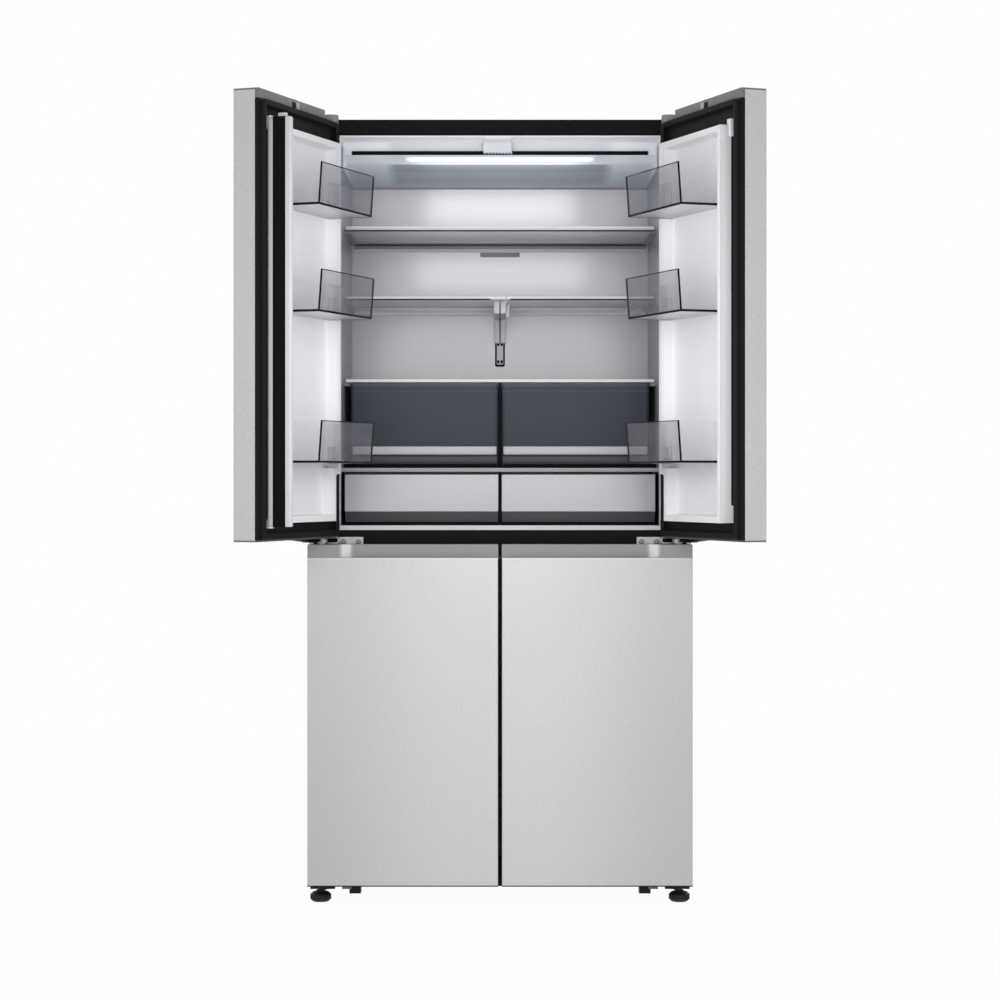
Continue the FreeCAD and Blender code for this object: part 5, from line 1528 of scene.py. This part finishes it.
@dataclass(frozen=True)
class Lamp:
    """A soft rectangular lamp, in metres and watts, that shows only in metal or not at all."""

    name: str
    place: Spot
    target: Spot
    size: Flat
    power: float
    shows: bool = False

    def hang(self) -> None:
        """Adds the lamp to the scene."""
        data = bpy.data.lights.new(self.name, "AREA")
        data.shape = "RECTANGLE"
        data.size, data.size_y = self.size
        data.energy = self.power
        made = add_object(self.name, data)
        made.location = self.place
        way = Vector(self.target) - Vector(self.place)
        made.rotation_euler = way.to_track_quat("-Z", "Y").to_euler()
        made.visible_camera = False
        made.visible_glossy = self.shows


@dataclass
class Studio:
    """Camera, floor, white surroundings and soft lamps."""

    camera_place: Spot = (0.0, -6.134, 1.005)
    lens: float = 87.84
    shift: float = -0.022
    floor_size: float = 40.0
    sky: float = 0.5
    near_white: float = 0.975
    clearing: Flat = (1.2, 3.6)
    floor_tones: Flat = (246.0, 252.0)
    sensor: float = 36.0
    lamps: tuple[Lamp, ...] = (
        Lamp("left", (-2.6, -2.6, 1.4), (0.0, -0.4, 1.1), (1.4, 1.4), 6.2),
        Lamp("right", (2.6, -2.6, 1.4), (0.0, -0.4, 1.1), (1.4, 1.4), 6.2),
        Lamp("front", (0.0, -1.9, 1.20), (0.0, -0.3, 1.1), (0.9, 0.9), 8.2),
        Lamp("aisle", (0.0, -1.0, 1.40), (0.0, 0.2, 1.36), (0.5, 0.8), 2.8),
        Lamp("fridge_down", (0.0, -0.19, 1.768), (0.0, 0.2, 1.60), (0.40, 0.05), 0.25),
        Lamp("fridge_up", (0.0, -0.26, 1.63), (0.0, -0.22, 1.80), (0.64, 0.10), 0.32),
        Lamp("upper_glow", (0.0, -0.16, 1.735), (0.0, 0.2, 1.735), (0.40, 0.09), 0.13, shows=True),
        Lamp("middle_glow", (0.0, -0.16, 1.560), (0.0, 0.2, 1.560), (0.46, 0.09), 0.09, shows=True),
    )

    def build(self) -> None:
        """Sets the whole studio up."""
        scene = bpy.context.scene
        scene.view_settings.view_transform = "Standard"
        self.set_camera(scene)
        self.set_world(scene)
        self.lay_floor()
        for lamp in self.lamps:
            lamp.hang()

    def set_camera(self, scene: bpy.types.Scene) -> None:
        """The level camera in front of the object.

        Args:
            scene: The scene that it looks at.
        """
        data = bpy.data.cameras.new("camera")
        data.lens = self.lens
        data.sensor_width = self.sensor
        data.shift_y = self.shift
        made = add_object("camera", data)
        made.location = self.camera_place
        made.rotation_euler = (math.pi / 2, 0.0, 0.0)
        scene.camera = made

    def set_world(self, scene: bpy.types.Scene) -> None:
        """White to the camera and in reflections, softer as light.

        Args:
            scene: The scene that it surrounds.
        """
        scene.world = bpy.data.worlds.new("studio")
        graph = Graph(scene.world)
        strength = graph.seen() * (1 - self.sky) + self.sky
        light = graph.node("Background", None, {"Color": WHITE, "Strength": strength})
        graph.end(light, "OutputWorld")

    def lay_floor(self) -> None:
        """A pale floor that keeps the shadow near the object and runs into the white further off."""
        half = self.floor_size / 2
        data = bpy.data.meshes.new("floor")
        corners = [(x, y, 0.0) for x, y in corners_of((-half, -half), (half, half))]
        data.from_pydata(corners, [], [(0, 1, 2, 3)])
        graph = Graph(bpy.data.materials.new("floor"))
        cloud = graph.noise((0.7, 0.7, 0.7), detail=2.0)
        matt = graph.coated(Base_Color=graph.between(cloud, *map(tone, self.floor_tones)), Roughness=0.8)
        white = graph.node("Emission", None, {"Color": WHITE, "Strength": 1.0})
        x, y = graph.along("X"), graph.along("Y")
        away = (x * x + y * y).rise(*(d * d for d in self.clearing))
        share = graph.seen() * (away * (1 - self.near_white) + self.near_white)
        shader = graph.node("MixShader", None, {0: share, 1: matt, 2: white})
        data.materials.append(graph.end(shader, "OutputMaterial"))
        add_object("floor", data)


def main() -> None:
    """Builds every sub-assembly in order."""
    logging.basicConfig(level=logging.INFO, format="%(name)s: %(message)s")
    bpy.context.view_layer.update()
    left, right = UpperDoor(Side.LEFT, dyke_end=368.5), UpperDoor(Side.RIGHT, dyke_end=378.5)
    assemblies = [
        Cabinet(), Interior(), Drawers(), left, right, Pillar(left),
        LowerDoor(Side.LEFT), LowerDoor(Side.RIGHT), Machine(), Studio(),
    ]
    for assembly in assemblies:
        assembly.build()
        LOG.info("%s done", type(assembly).__name__)


if __name__ == "__main__":
    main()
